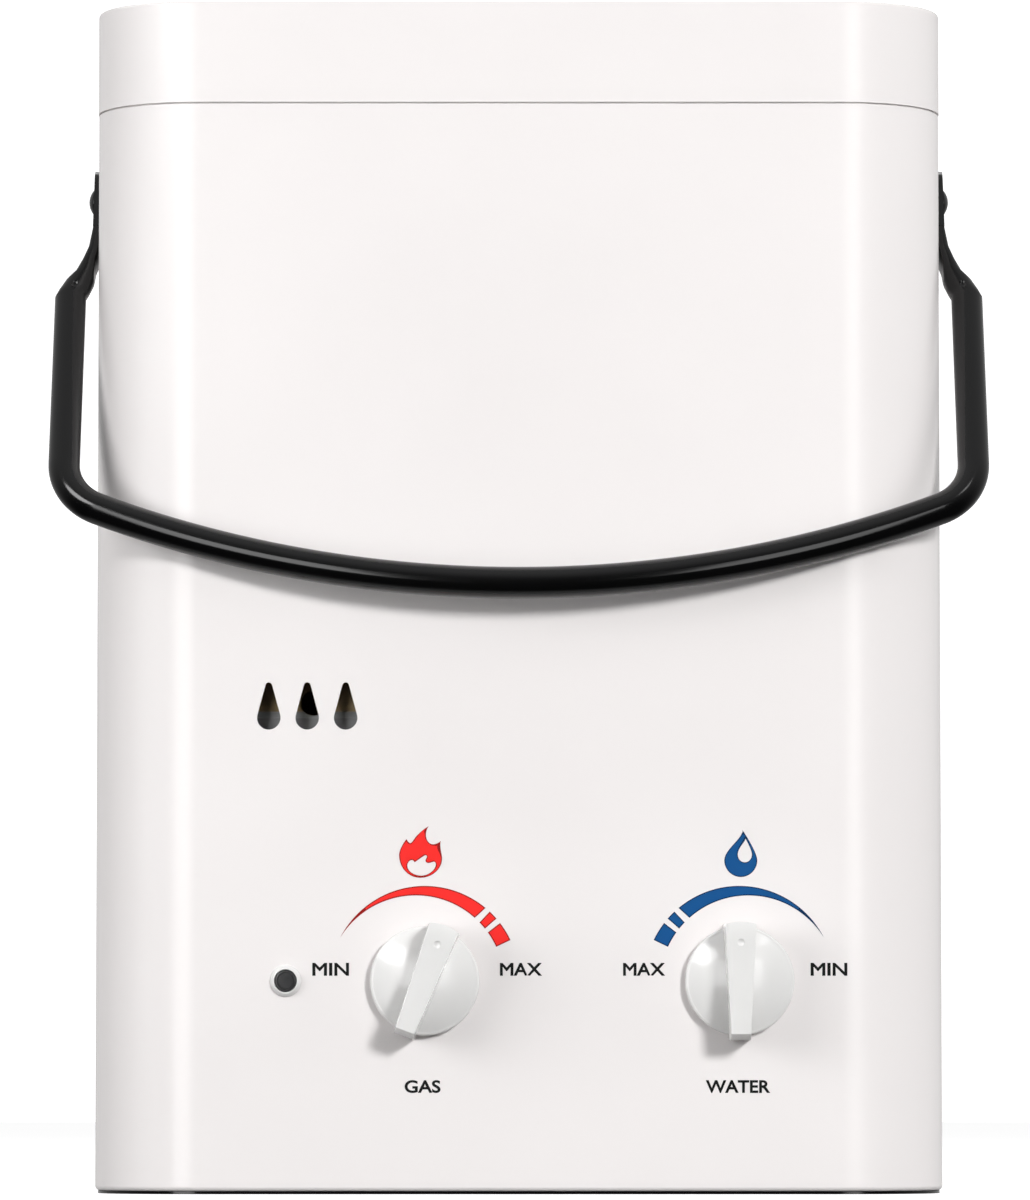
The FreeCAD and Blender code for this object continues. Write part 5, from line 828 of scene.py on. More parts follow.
def cover_skin(size, low, high):
    """Skin of the cover: open above and behind, with flanges and a hem at its foot."""
    bm = wrapped(low, high, size.corner_round)
    foot = faces_facing(bm, (0, 0, -1))
    inset(bm, foot, size.hem)
    middle = [face for face in faces_facing(bm, (0, 0, -1)) if face in foot]
    bmesh.ops.delete(bm, geom=middle + faces_facing(bm, (0, 0, 1)), context="FACES")
    behind = faces_facing(bm, (0, 1, 0))
    inset(bm, behind, size.flange)
    bmesh.ops.delete(bm, geom=[f for f in behind if f.is_valid], context="FACES")
    strips = [
        face for face in bm.faces
        if face.normal.y > ABOUT and abs(face.calc_center_median().x) < high.x / 2
        or face.normal.z < -ABOUT and face.calc_center_median().y > high.y - size.hem
    ]
    bmesh.ops.delete(bm, geom=strips, context="FACES")
    fold = [
        edge for edge in bm.edges
        if len(edge.link_faces) == 2 and lies(edge, "z", low.z)
        and any(face.normal.z < -ABOUT for face in edge.link_faces)
        and any(abs(face.normal.z) < 1 - ABOUT for face in edge.link_faces)
    ]
    soften(bm, fold, size.hem_bend, 5)
    return bm


class HEATER_OT_front_cover(bpy.types.Operator):
    """Make the painted wrap: front, round corners and sides in one sheet"""

    bl_idname = "heater.front_cover"
    bl_label = "Front Cover"

    def execute(self, context):
        size = context.scene.heater_casing
        controls = context.scene.heater_controls
        low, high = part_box("front_cover")
        bm = cover_skin(size, low, high)
        cover = wall(new_piece("front_cover_wrap", bm, enamel()), size.steel)
        tools = bmesh.new()
        for index in range(WINDOWS):
            across = size.window_left + index * size.window_pitch
            window_bar(tools, size, across, low.y - TOOL / 4)
        for across, radius in (
            (controls.gas_across, size.stem_window),
            (controls.water_across, size.stem_window),
            (controls.button_across, BARREL_HOLE),
        ):
            bar(tools, (across, low.y, controls.height), radius, TOOL)
        handle = context.scene.heater_handle
        for across in (low.x, high.x):
            bar(tools, (across, 0.0, handle.pivot), handle.bore, TOOL, TO_RIGHT)
        bmesh.ops.recalc_face_normals(tools, faces=tools.faces)
        combine(cover, new_piece("cover_tools", tools))
        ease(cover, size.paint_edge)
        done(cover, "casing", "white_enamel", "front_cover")
        return {"FINISHED"}


class HEATER_OT_rain_cap(bpy.types.Operator):
    """Make the rain cap, with its exhaust slots in the rear wall"""

    bl_idname = "heater.rain_cap"
    bl_label = "Rain Cap"

    def execute(self, context):
        size = context.scene.heater_casing
        low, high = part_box("rain_cap")
        bm = wrapped(low, high, size.corner_round + CAP_LAP, size.cap_rear_round)
        bmesh.ops.delete(bm, geom=faces_facing(bm, (0, 0, -1)), context="FACES_ONLY")
        rim = [edge for edge in bm.edges if lies(edge, "z", high.z)]
        soften(bm, rim, size.cap_round, 6)
        cap = wall(new_piece("rain_cap_shell", bm, enamel()), size.steel)
        tools = bmesh.new()
        first = -size.slot_pitch * (size.slots - 1) / 2
        for index in range(size.slots):
            across = first + index * size.slot_pitch
            spots = box(
                tools,
                (across - size.slot_round, high.y - TOOL / 2, size.slot_low),
                (across + size.slot_round, high.y + TOOL / 2, size.slot_high),
            )
            corners = [edge for edge in edges_at(spots) if keeps(edge, "x", "z")]
            soften(tools, corners, size.slot_round * SLOT_ENDS, 8)
        combine(cap, new_piece("cap_tools", tools))
        ease(cap, size.paint_edge)
        done(cap, "casing", "white_enamel", "rain_cap")
        return {"FINISHED"}


# ---------------------------------------------------------------- handle


TUBE_SIDES = 32
SECTION_ENDS = 0.49  # share of a section's thickness that its corners are rounded by
TAB_ENDS = 0.47  # share of a tab's width that its top corners are rounded by
TAB_OVERLAP = 0.05 * MM  # how far a tab reaches into the swelling that it joins
HANDLE_EDGE = 0.5 * MM  # radius of the edges of the tabs and of the pinches

# Sections of the swelling, from the round tube to the flat tab: how far the inner and the
# outer side stand off the tab's, the width, all in mm, and the share of the way left
ARM_SECTIONS = (
    (3.25, 12.25, 11.8, 0.907),
    (1.85, 9.65, 12.3, 0.755),
    (1.65, 6.05, 13.2, 0.644),
    (1.35, 3.45, 14.4, 0.481),
    (0.1, 1.35, 15.8, 0.296),
    (0.0, 0.0, 17.0, 0.0),
)


def section(bm, inner, outer, wide, drop):
    """Add one flattened cross-section of the tube's swelling, as a ring of edges."""
    thick = outer - inner
    ring = bmesh.ops.create_grid(bm, x_segments=1, y_segments=1, size=0.5)["verts"]
    bmesh.ops.scale(bm, vec=(thick, wide, 1.0), verts=ring)
    bmesh.ops.translate(bm, vec=((inner + outer) / 2, 0.0, -drop), verts=ring)
    bmesh.ops.bevel(
        bm, geom=ring, offset=thick * SECTION_ENDS, offset_type="OFFSET", segments=7,
        profile=0.5, affect="VERTICES", material=-1,
    )
    faces = [face for face in bm.faces if lies(face, "z", -drop)]
    edges = faces[0].edges[:]
    bmesh.ops.delete(bm, geom=faces, context="FACES_ONLY")
    return edges


def handle_half(size):
    """Half of the tube: from its flattened end round the bend to the middle."""
    bm = bmesh.new()
    phase = Matrix.Rotation(math.pi / TUBE_SIDES, 4, "Z")
    start = Matrix.Translation((size.across, 0.0, -size.arm_top))
    bmesh.ops.create_circle(
        bm, cap_ends=False, radius=size.tube, segments=TUBE_SIDES, matrix=start @ phase
    )
    first = bm.edges[:]
    swell = size.arm_top - size.tab_bend
    inner, outer = size.tab_inner, size.tab_inner + size.tab_thick
    spans = [
        (
            inner + inside * MM, outer + outside * MM, wide * MM,
            size.tab_bend + swell * part,
        )
        for inside, outside, wide, part in ARM_SECTIONS
    ]
    last = first
    for span in spans:
        ring = section(bm, *span)
        bmesh.ops.bridge_loops(bm, edges=last + ring)
        last = ring
    bmesh.ops.contextual_create(bm, geom=last)
    reach = size.bow - size.bend
    inner_x = size.across - size.bend
    rise = size.bow - size.drop
    bend_low = rise - math.sqrt(reach**2 - inner_x**2)
    lean = math.atan2(rise - bend_low, inner_x)
    down = bmesh.ops.extrude_edge_only(bm, edges=first)["geom"]
    fall = (0.0, 0.0, bend_low + size.arm_top)
    bmesh.ops.translate(bm, vec=fall, verts=verts_in(down))
    ring = edges_in(down)
    for centre, angle, steps in (
        ((inner_x, 0.0, bend_low), lean, 18),
        ((0.0, 0.0, rise), math.pi / 2 - lean, 26),
    ):
        swung = bmesh.ops.spin(
            bm, geom=ring, cent=centre, axis=(0.0, 1.0, 0.0), angle=angle, steps=steps
        )
        ring = edges_in(swung["geom_last"])
    bmesh.ops.remove_doubles(bm, verts=bm.verts, dist=0.1 * NEAR)
    return bm


def add_tab(bm, size, hand):
    """Add one of the handle's flat ends, round at its top."""
    inner = hand * size.tab_inner
    outer = hand * (size.tab_inner + size.tab_thick)
    spots = box(
        bm,
        (min(inner, outer), -size.tab_wide / 2, -size.tab_bend - TAB_OVERLAP),
        (max(inner, outer), size.tab_wide / 2, size.tab_rise),
    )
    top = [
        edge for edge in edges_at(spots)
        if lies(edge, "z", size.tab_rise) and keeps(edge, "y")
    ]
    soften(bm, top, size.tab_wide * TAB_ENDS, 12)


def add_tab_cutters(bm, size, hand):
    """Add the bar that pierces a tab and the balls that pinch the tube below it."""
    bar(bm, (hand * size.tab_inner, 0.0, 0.0), size.bore, 1.5 * TOOL, TO_RIGHT, 40)
    for face in (-1, 1):
        dent = (hand * size.dent_across, face * size.dent_out, -size.dent_drop)
        bmesh.ops.create_icosphere(
            bm, subdivisions=3, radius=size.dent, matrix=Matrix.Translation(dent)
        )


class HEATER_OT_bail_handle(bpy.types.Operator):
    """Make the swinging handle: a bent tube with flattened, pierced ends"""

    bl_idname = "heater.bail_handle"
    bl_label = "Bail Handle"

    def execute(self, context):
        size = context.scene.heater_handle
        bm = handle_half(size)
        bmesh.ops.mirror(
            bm, geom=bm.verts[:] + bm.edges[:] + bm.faces[:],
            matrix=Matrix.Identity(4), merge_dist=2 * NEAR, axis="X",
        )
        bmesh.ops.remove_doubles(bm, verts=bm.verts, dist=NEAR)
        bmesh.ops.recalc_face_normals(bm, faces=bm.faces)
        handle = new_piece("bail_handle_tube", bm, black_coat())
        tabs, cutters = bmesh.new(), bmesh.new()
        for hand in (-1, 1):
            add_tab(tabs, size, hand)
            add_tab_cutters(cutters, size, hand)
        combine(handle, new_piece("handle_tabs", tabs), "UNION")
        combine(handle, new_piece("handle_cutters", cutters))
        ease(handle, HANDLE_EDGE, 3, over=50.0)
        place = Matrix.Translation((0.0, 0.0, size.pivot))
        put(handle, place @ Matrix.Rotation(-size.lean, 4, "X"))
        done(handle, "bail", "black_enamel", "bail_handle")
        return {"FINISHED"}


class HEATER_OT_pivot_screws(bpy.types.Operator):
    """Make the domed, slotted shoulder screws that the handle swings on"""

    bl_idname = "heater.pivot_screws"
    bl_label = "Pivot Screws"

    def execute(self, context):
        size = context.scene.heater_handle
        low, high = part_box("pivot_screws")
        head, dome, shank, reach = 4.6 * MM, 2.1 * MM, 3.0 * MM, 12.0 * MM
        rim, slot_deep, slot_half, slot_long = 0.4 * MM, 1.1 * MM, 0.6 * MM, 6 * MM
        bm = bmesh.new()
        below = ((head, 0.0), (shank, 0.0), (shank, -reach), (0.0, -reach))
        domed(bm, dome, head, dome - rim, below, 8, 40)
        pair, slots = bmesh.new(), bmesh.new()
        places = []
        for hand, face in ((1, high.x), (-1, low.x)):
            swing = Matrix.Rotation(math.radians(90 * hand), 4, "Y")
            seat = Matrix.Translation((face - hand * dome, 0.0, size.pivot))
            places.append(seat @ swing)
            box(
                slots, (face - slot_deep, -slot_half, size.pivot - slot_long),
                (face + slot_deep, slot_half, size.pivot + slot_long),
            )
        add_mesh(pair, bm, *places)
        screws = new_piece("pivot_screw_pair", pair, finish("black_enamel"))
        combine(screws, new_piece("screw_slots", slots))
        ease(screws, 0.12 * MM)
        done(screws, "casing", "zinc_screw", "pivot_screws")
        return {"FINISHED"}


# ---------------------------------------------------------------- controls


KNOB_STEPS = 112
RING_STEPS = 64
NOSE_SWEEP = math.radians(24)


def knob_disc(name, size):
    """Domed disc of a knob, facing up."""
    bm = bmesh.new()
    skirt, rim, gap, edge = size.knob_round, size.knob_rim, size.knob_gap, size.knob_edge
    below = (
        (skirt, rim), (skirt, gap + edge), (skirt - size.knob_foot, gap), (0.0, gap),
    )
    crown = size.knob_dome
    domed(bm, crown, skirt - edge, crown - rim, below, 14, KNOB_STEPS)
    soften(bm, loop_at(bm, skirt, rim), edge * 0.9, 6)
    soften(bm, loop_at(bm, skirt, gap + edge), edge * 0.4, 3)
    return new_piece(name, bm, moulded_white())


def knob_grip(size):
    """Tapered grip of a knob, whose nose is rounded and whose tail slopes."""
    bm = bmesh.new()
    wide, narrow = size.grip_wide / 2, size.grip_narrow / 2
    low, high = size.knob_gap + size.grip_foot, size.grip_high
    tail, nose = -size.grip_tail, size.grip_point
    swing = math.asin(wide / nose)
    first = bm.verts.new((wide, nose * math.cos(swing), low))
    last = arc(bm, first, (0.0, 0.0, low), 2 * swing, 12, (0.0, 0.0, 1.0))
    left, right = (bm.verts.new((hand * narrow, tail, low)) for hand in (-1, 1))
    for pair in ((last, left), (left, right), (right, first)):
        bm.edges.new(pair)
    foot = bmesh.ops.contextual_create(bm, geom=bm.edges[:])["faces"]
    top = pull(bm, foot, (0.0, 0.0, high - low))
    draft = math.tan(size.grip_draft) * (high - low)
    for spot in top:
        spot.co.x -= draft * max(-1.0, min(1.0, spot.co.x / narrow))
    slope = Vector((0.0, -size.tail_drop, size.tail_set))
    bmesh.ops.bisect_plane(
        bm, geom=bm.verts[:] + bm.edges[:] + bm.faces[:],
        plane_co=(0.0, tail - size.tail_set, high - 2 * size.tail_drop), plane_no=slope,
        clear_outer=True,
    )
    bmesh.ops.holes_fill(bm, edges=[edge for edge in bm.edges if edge.is_boundary])
    bmesh.ops.recalc_face_normals(bm, faces=bm.faces)
    grip = new_piece("knob_grip", bm)
    combine(grip, nose_cutter(size))
    return ease(grip, size.grip_edge, 4, over=30.0)


def nose_cutter(size):
    """Bar whose hollow underside gives the grip's top its fall at the nose."""
    bm = bmesh.new()
    start, ball = size.grip_point - size.nose_long, size.nose_round
    centre = Vector((0.0, start, size.grip_high - ball))
    first = bm.verts.new((-size.grip_wide, start, size.grip_high))
    last = arc(bm, first, centre, -NOSE_SWEEP, 12, (1.0, 0.0, 0.0))
    above = size.grip_high + size.nose_long
    corners = [
        bm.verts.new((-size.grip_wide, spot.co.y, above)) for spot in (last, first)
    ]
    for pair in ((last, corners[0]), corners, (corners[1], first)):
        bm.edges.new(pair)
    side = bmesh.ops.contextual_create(bm, geom=bm.edges[:])["faces"]
    pull(bm, side, (2 * size.grip_wide, 0.0, 0.0))
    bmesh.ops.recalc_face_normals(bm, faces=bm.faces)
    return new_piece("nose_cutter", bm)


class HEATER_OT_knobs(bpy.types.Operator):
    """Make the gas knob and the water knob, a domed disc with a tapered grip"""

    bl_idname = "heater.knobs"
    bl_label = "Knobs"

    def execute(self, context):
        size = context.scene.heater_controls
        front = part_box("front_cover")[0].y
        for name, across, swing, body in (
            ("gas", size.gas_across, size.gas_turn, "gas_control"),
            ("water", size.water_across, 0.0, "water_control"),
        ):
            knob = knob_disc(f"{name}_knob_moulding", size)
            tidy(combine(knob, knob_grip(size), "UNION"))
            ball = ball_of(size.dimple_round, size.dimple_deep)
            above = size.grip_high + ball - size.dimple_deep
            spot = Matrix.Translation((0.0, size.dimple_along, above))
            dimple = bmesh.new()
            bmesh.ops.create_uvsphere(
                dimple, u_segments=32, v_segments=24, radius=ball, matrix=spot
            )
            combine(knob, new_piece("dimple", dimple))
            single_finish(knob)
            even_out(knob, 32.0)
            place = Matrix.Translation((across, front, size.height))
            put(knob, place @ TO_FRONT @ Matrix.Rotation(-swing, 4, "Z"))
            done(knob, body, "white_gloss", f"{name}_knob")
        return {"FINISHED"}


class HEATER_OT_push_button(bpy.types.Operator):
    """Make the push button and its bevelled ring"""

    bl_idname = "heater.push_button"
    bl_label = "Push Button"

    def execute(self, context):
        size = context.scene.heater_controls
        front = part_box("front_cover")[0].y
        place = Matrix.Translation((size.button_across, front, size.height)) @ TO_FRONT
        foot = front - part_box("button_bezel")[1].y
        ring, bore, high = size.ring_round, size.ring_bore, size.ring_high
        flat, slope = 0.7 * MM, 1.1 * MM
        bm = bmesh.new()
        chain(bm, (
            (bore, foot), (BARREL, foot), (BARREL, 0.0), (ring, 0.0), (ring, flat),
            (ring - slope, high), (bore, high), (bore, foot),
        ))
        lathe(bm, RING_STEPS)
        soften(bm, loop_at(bm, ring - slope, high), 0.3 * MM, 3)
        soften(bm, loop_at(bm, ring, flat), 0.3 * MM, 3)
        soften(bm, loop_at(bm, bore, high), 0.2 * MM, 2)
        bezel = put(new_piece("button_ring", bm, moulded_white(), sharp=50.0), place)
        done(bezel, "casing", "white_gloss", "button_bezel")
        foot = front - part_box("power_button")[1].y
        reach, top = size.button_round, size.button_high
        chamfer, groove, dish = 0.3 * MM, 0.25 * MM, 0.05 * MM
        bm = bmesh.new()
        chain(bm, (
            (0.0, foot), (reach, foot), (reach, top - chamfer), (reach - chamfer, top),
            (reach - 0.7 * MM, top), (reach - 0.9 * MM, top - groove),
            (reach - 1.1 * MM, top - dish), (0.0, top - dish),
        ))
        lathe(bm, RING_STEPS)
        soften(bm, loop_at(bm, reach - chamfer, top), chamfer / 2, 3)
        button = put(new_piece("button_plunger", bm, black_gloss(), sharp=20.0), place)
        done(button, "button", "black_gloss", "power_button")
        return {"FINISHED"}


# ---------------------------------------------------------------- screws and fittings


RECESS_HALF = 0.45 * MM  # half the width of a cross recess's slots
SCREW_TURN = 37  # degrees from one screw's recess to the next one's


def crossed_screw(size, reach):
    """Mesh of a pan-headed screw with a cross recess, facing up."""
    bm = bmesh.new()
    head, rise, shank = size.screw_head, size.screw_rise, size.screw_shank
    below = ((head, 0.0), (shank, 0.0), (shank, -reach), (0.0, -reach))
    domed(bm, rise, head, rise - rise * 0.4, below, 6, 32)
    screw = new_piece("screw", bm)
    for wide, deep in ((size.recess, RECESS_HALF), (RECESS_HALF, size.recess)):
        slot = bmesh.new()
        box(slot, (-wide, -deep, rise * 0.35), (wide, deep, rise * 2))
        combine(screw, new_piece("slot", slot))
    mesh = ease(screw, 0.1 * MM).data
    bpy.data.objects.remove(screw)
    return mesh


class HEATER_OT_screws(bpy.types.Operator):
    """Make the cross-recessed screws of the rear sheet and of the cap"""

    bl_idname = "heater.screws"
    bl_label = "Screws"

    def execute(self, context):
        size = context.scene.heater_fittings
        for name, columns, rows in (
            ("casing_screws", (-1, 1), 4), ("cap_screws", (-1, 0, 1), 1),
        ):
            low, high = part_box(name)
            seat = high.y - size.screw_rise
            middle = low.z + size.screw_head
            side = size.cap_pitch if rows == 1 else high.x - size.screw_head
            spots = [
                (hand * side, seat, middle + step * size.screw_pitch)
                for step in range(rows) for hand in columns
            ]
            places = [
                Matrix.Translation(spot) @ TO_BACK
                @ Matrix.Rotation(math.radians(SCREW_TURN * index), 4, "Z")
                for index, spot in enumerate(spots)
            ]
            bm = bmesh.new()
            add_copies(bm, crossed_screw(size, seat - low.y), places)
            piece = new_piece(f"{name}_crossed", bm, finish("zinc_screw"))
            done(piece, "casing", "zinc_screw", name)
        return {"FINISHED"}


CONE_LIP = 0.8 * MM  # flat at the end of the gas inlet's cone
THREAD_STEPS = 60
FLUTES = 24  # round the drain plug's grip

# Node, radii of thread, bore and neck, the thread's pitch and the cone's length, in mm
FITTINGS = (
    ("gas_inlet_fitting", 7.94, 3.5, 9.0, 1.41, 2.6),
    ("water_inlet_fitting", 13.5, 9.5, 13.0, 2.2, 0.0),
    ("water_outlet_fitting", 10.67, 7.0, 10.0, 1.81, 0.0),
)


def thread_skin(bm, radius, deep, pitch, low, high):
    """Add the open skin of a screw thread between two heights."""
    start = low - 1.5 * pitch
    crests = int((high - low) / pitch) + 3
    line = []
    for index in range(crests):
        foot = start + index * pitch
        line += [
            (radius, foot), (radius, foot + 0.2 * pitch),
            (radius - deep, foot + 0.5 * pitch), (radius - deep, foot + 0.7 * pitch),
        ]
    begun = set(bm.verts)

    def fresh():
        return [spot for spot in bm.verts if spot not in begun]

    edges = chain(bm, line)
    strip = ordered(spot for edge in edges for spot in edge.verts) + edges
    bmesh.ops.spin(
        bm, geom=strip, cent=(0.0, 0.0, 0.0), axis=(0.0, 0.0, 1.0), angle=math.tau,
        steps=THREAD_STEPS, dvec=(0.0, 0.0, pitch / THREAD_STEPS),
    )
    bmesh.ops.remove_doubles(bm, verts=fresh(), dist=0.1 * NEAR)
    for end, outwards in ((low, -1.0), (high, 1.0)):
        thread = ordered(
            part for spot in fresh()
            for part in (spot, *spot.link_edges, *spot.link_faces)
        )
        bmesh.ops.bisect_plane(
            bm, geom=thread, plane_co=(0.0, 0.0, end), plane_no=(0.0, 0.0, outwards),
            clear_outer=True, dist=0.1 * NEAR,
        )
    rims = [edge for edge in edges_at(fresh()) if edge.is_boundary]
    return [[edge for edge in rims if lies(edge, "z", end)] for end in (low, high)]


def threaded_fitting(name, size, radius, bore, flange, neck, top, pitch, cone=0.0):
    """Brass fitting: threaded below its nut, flanged on the deck, bored through."""
    bm = bmesh.new()
    slim = radius - size.relief
    tip = size.tip + cone
    flange_top = size.deck + size.flange
    inner = [(bore, size.tip)]
    if cone:
        inner = [(radius - size.thread_deep, tip), (bore + CONE_LIP, size.tip)] + inner
    chain(bm, inner + [
        (bore, top), (neck, top), (neck, flange_top), (flange, flange_top),
        (flange, size.deck), (slim, size.deck), (slim, size.under),
    ])
    lathe(bm, THREAD_STEPS)
    soften(bm, loop_at(bm, flange, flange_top), 0.5 * MM, 3)
    foot = loop_at(bm, *inner[0])
    collar = loop_at(bm, slim, size.under)
    low, high = thread_skin(bm, radius, size.thread_deep, pitch, tip, size.under)
    bmesh.ops.bridge_loops(bm, edges=foot + low)
    bmesh.ops.bridge_loops(bm, edges=collar + high)
    bmesh.ops.recalc_face_normals(bm, faces=bm.faces)
    open_edges = sum(not edge.is_manifold for edge in bm.edges)
    if open_edges:
        raise RuntimeError(f"{name} has {open_edges} open edges")
    return new_piece(name, bm, finish("brass"), sharp=40.0)


def fluted_plug(size, tall):
    """Drain plug: a fluted grip on a round shank."""
    bm = bmesh.new()
    rim = bmesh.ops.create_circle(
        bm, cap_ends=True, radius=size.plug_round, segments=4 * FLUTES
    )["verts"]
    for spot in rim[::4]:
        spot.co *= 1.0 - size.flute / size.plug_round
    pull(bm, bm.faces[:], (0.0, 0.0, size.plug_tall))
    bmesh.ops.recalc_face_normals(bm, faces=bm.faces)
    soften(bm, [edge for edge in bm.edges if keeps(edge, "z")], 0.8 * MM, 3)
    plug = new_piece("drain_plug_fluted", bm, finish("brass"))
    bm = bmesh.new()
    inside, shank = size.plug_tall / 2, size.plug_shank
    chain(bm, ((0.0, inside), (shank, inside), (shank, tall), (0.0, tall)))
    lathe(bm, 48)
    combine(plug, new_piece("plug_shank", bm), "UNION")
    shade(plug, 30.0)
    return plug


class HEATER_OT_fittings(bpy.types.Operator):
    """Make the three threaded fittings and the fluted drain plug under the pan"""

    bl_idname = "heater.fittings"
    bl_label = "Fittings"

    def execute(self, context):
        size = context.scene.heater_fittings
        for node, *sizes in FITTINGS:
            low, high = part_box(node)
            radius, bore, neck, pitch, cone = (value * MM for value in sizes)
            piece = threaded_fitting(
                f"{node}_threaded", size, radius, bore, (high.x - low.x) / 2, neck,
                high.z, pitch, cone,
            )
            middle = (low + high) / 2
            put(piece, Matrix.Translation((middle.x, middle.y, 0.0)))
            done(piece, "casing", "brass", node)
        low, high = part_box("drain_plug")
        plug = fluted_plug(size, high.z - low.z)
        middle = (low + high) / 2
        put(plug, Matrix.Translation((middle.x, middle.y, low.z)))
        done(plug, "casing", "brass", "drain_plug")
        return {"FINISHED"}


# ---------------------------------------------------------------- prints


# The scales' inner edge is an arc about a point off the knob's middle: that point and its
# radius, in metres. Angles are in degrees, from the right of the front upwards.
INNER_MIDDLE = Vector((-3.249, -1.168)) * MM
INNER_ROUND = 31.93 * MM
SCALE_TIP = 153
FINEST = 51  # the angle below which the tip isn't looked for
BLOCKS = ((50.2, 51.6), (46.9, 41.0, 41.0), (37.6, 25.5, 25.5))


def raise_film(bm, film):
    """Give flat faces of the XZ plane the thickness of a film, towards the front."""
    bmesh.ops.recalc_face_normals(bm, faces=bm.faces)
    for face in bm.faces:
        if face.normal.y > 0:
            face.normal_flip()
    pull(bm, bm.faces[:], (0.0, -film, 0.0))
    bmesh.ops.recalc_face_normals(bm, faces=bm.faces)


def film_of(name, bm, film, front, *finishes):
    """Turn flat faces of the XZ plane into a film of ink on the front."""
    raise_film(bm, film)
    return put(new_piece(name, bm, *finishes), Matrix.Translation((0.0, front, 0.0)))


def inner_reach(angle):
    """Distance from the knob's middle to the scale's inner edge."""
    ray = Vector((math.cos(angle), math.sin(angle)))
    along = INNER_MIDDLE.dot(ray)
    return along + math.sqrt(INNER_ROUND**2 - INNER_MIDDLE.length_squared + along**2)


def scale_block(bm, size, first, last, inner_last):
    """Add one block of a printed scale between two angles, in degrees. Its inner edge
    ends at an angle of its own."""
    first, last, inner_last = (math.radians(a) for a in (first, last, inner_last))
    outer = size.scale_round
    start = bm.verts.new((outer * math.cos(first), 0.0, outer * math.sin(first)))
    steps = max(4, int(abs(first - last) / math.radians(2.5)))
    finish_spot = arc(bm, start, (0.0, 0.0, 0.0), first - last, steps)
    inner_start, inner_finish = (
        (inner_reach(angle) * math.cos(angle), 0.0, inner_reach(angle) * math.sin(angle))
        for angle in (first, inner_last)
    )
    middle = Vector((INNER_MIDDLE.x, 0.0, INNER_MIDDLE.y))
    begin, end = Vector(inner_start) - middle, Vector(inner_finish) - middle
    sweep = math.atan2(begin.z, begin.x) - math.atan2(end.z, end.x)
    back = bm.verts.new(inner_start)
    back_end = arc(bm, back, middle, sweep, steps)
    if (start.co - back.co).length > NEAR:
        bm.edges.new((start, back))
    bm.edges.new((finish_spot, back_end))
    bmesh.ops.remove_doubles(bm, verts=bm.verts, dist=NEAR)
    wires = [edge for edge in bm.edges if edge.is_wire]
    bmesh.ops.triangle_fill(bm, use_beauty=True, use_dissolve=True, edges=wires)


def scale_faces(size):
    """Bmesh of a whole scale, flat, about the knob's middle: blocks with a dark border,
    and a dark tip where it is too fine for one."""
    fine = next(
        angle for angle in range(SCALE_TIP, FINEST, -1)
        if size.scale_round - inner_reach(math.radians(angle)) > 3 * size.outline
    )
    bm, tip = bmesh.new(), bmesh.new()
    for ends in ((fine, *BLOCKS[0]), *BLOCKS[1:]):
        scale_block(bm, size, *ends)
    for face in inset(bm, bm.faces[:], size.outline):
        face.material_index = 1
    scale_block(tip, size, SCALE_TIP, fine, fine)
    for face in tip.faces:
        face.material_index = 1
    add_mesh(bm, tip)
    return bm


def moved(point, away):
    """Place of a curve's point after the curve moves to its left, as far as its corners
    let it."""
    across, up, back, ahead = point
    lines = Vector((-back[0], -back[1])), Vector(ahead)
    sides = [Vector((-line.y, line.x)).normalized() for line in lines]
    lean = max(0.08, 1.0 + sides[0].dot(sides[1]))
    return Vector((across, up)) + (sides[0] + sides[1]) * (away / lean)


def flat_curve(name, splines, inset_by):
    """Mesh of the flat shape between closed curves, clockwise and in millimetres. A
    point is its place and its two handles, as offsets."""
    curve = bpy.data.curves.new(name, "CURVE")
    curve.dimensions = "2D"
    curve.fill_mode = "BOTH"
    curve.resolution_u = 10
    for order, points in enumerate(splines):
        spline = curve.splines.new("BEZIER")
        spline.bezier_points.add(len(points) - 1)
        spline.use_cyclic_u = True
        for spot, point in zip(spline.bezier_points, points):
            across, up = moved(point, inset_by if order else -inset_by)
            back, ahead = point[2:]
            spot.co = (across, up, 0.0)
            spot.handle_left_type = spot.handle_right_type = "FREE"
            spot.handle_left = (across + back[0], up + back[1], 0.0)
            spot.handle_right = (across + ahead[0], up + ahead[1], 0.0)
    return flat_mesh(name, curve)


def flat_mesh(name, curve):
    """Mesh of a flat curve or text, and the curve taken away."""
    item = bpy.data.objects.new(name, curve)
    bpy.context.scene.collection.objects.link(item)
    mesh = mesh_of(item)
    bpy.data.objects.remove(item)
    bpy.data.curves.remove(curve)
    return mesh


# Icons, in mm about their middle: the outline, and the gap in it. A point is across, up
# and the offsets of its two handles.
DROP = (
    (
        (0.6, 8.5, (0.2, -0.9), (1.0, -1.5)),
        (5.95, -2.45, (-0.1, 2.9), (0.0, -3.35)),
        (0.0, -8.5, (3.3, 0.0), (-3.3, 0.0)),
        (-5.95, -2.45, (0.0, -3.35), (0.1, 3.5)),
        (0.25, 6.9, (-1.0, -2.4), (0.25, 0.6)),
    ),
    (
        (1.75, 5.3, (-0.3, -1.3), (0.7, -1.4)),
        (4.0, -0.35, (0.0, 1.5), (0.0, -1.6)),
        (1.45, -3.2, (1.5, 0.0), (-1.45, 0.0)),
        (-1.1, -0.35, (0.0, -1.6), (0.0, 2.2)),
    ),
)

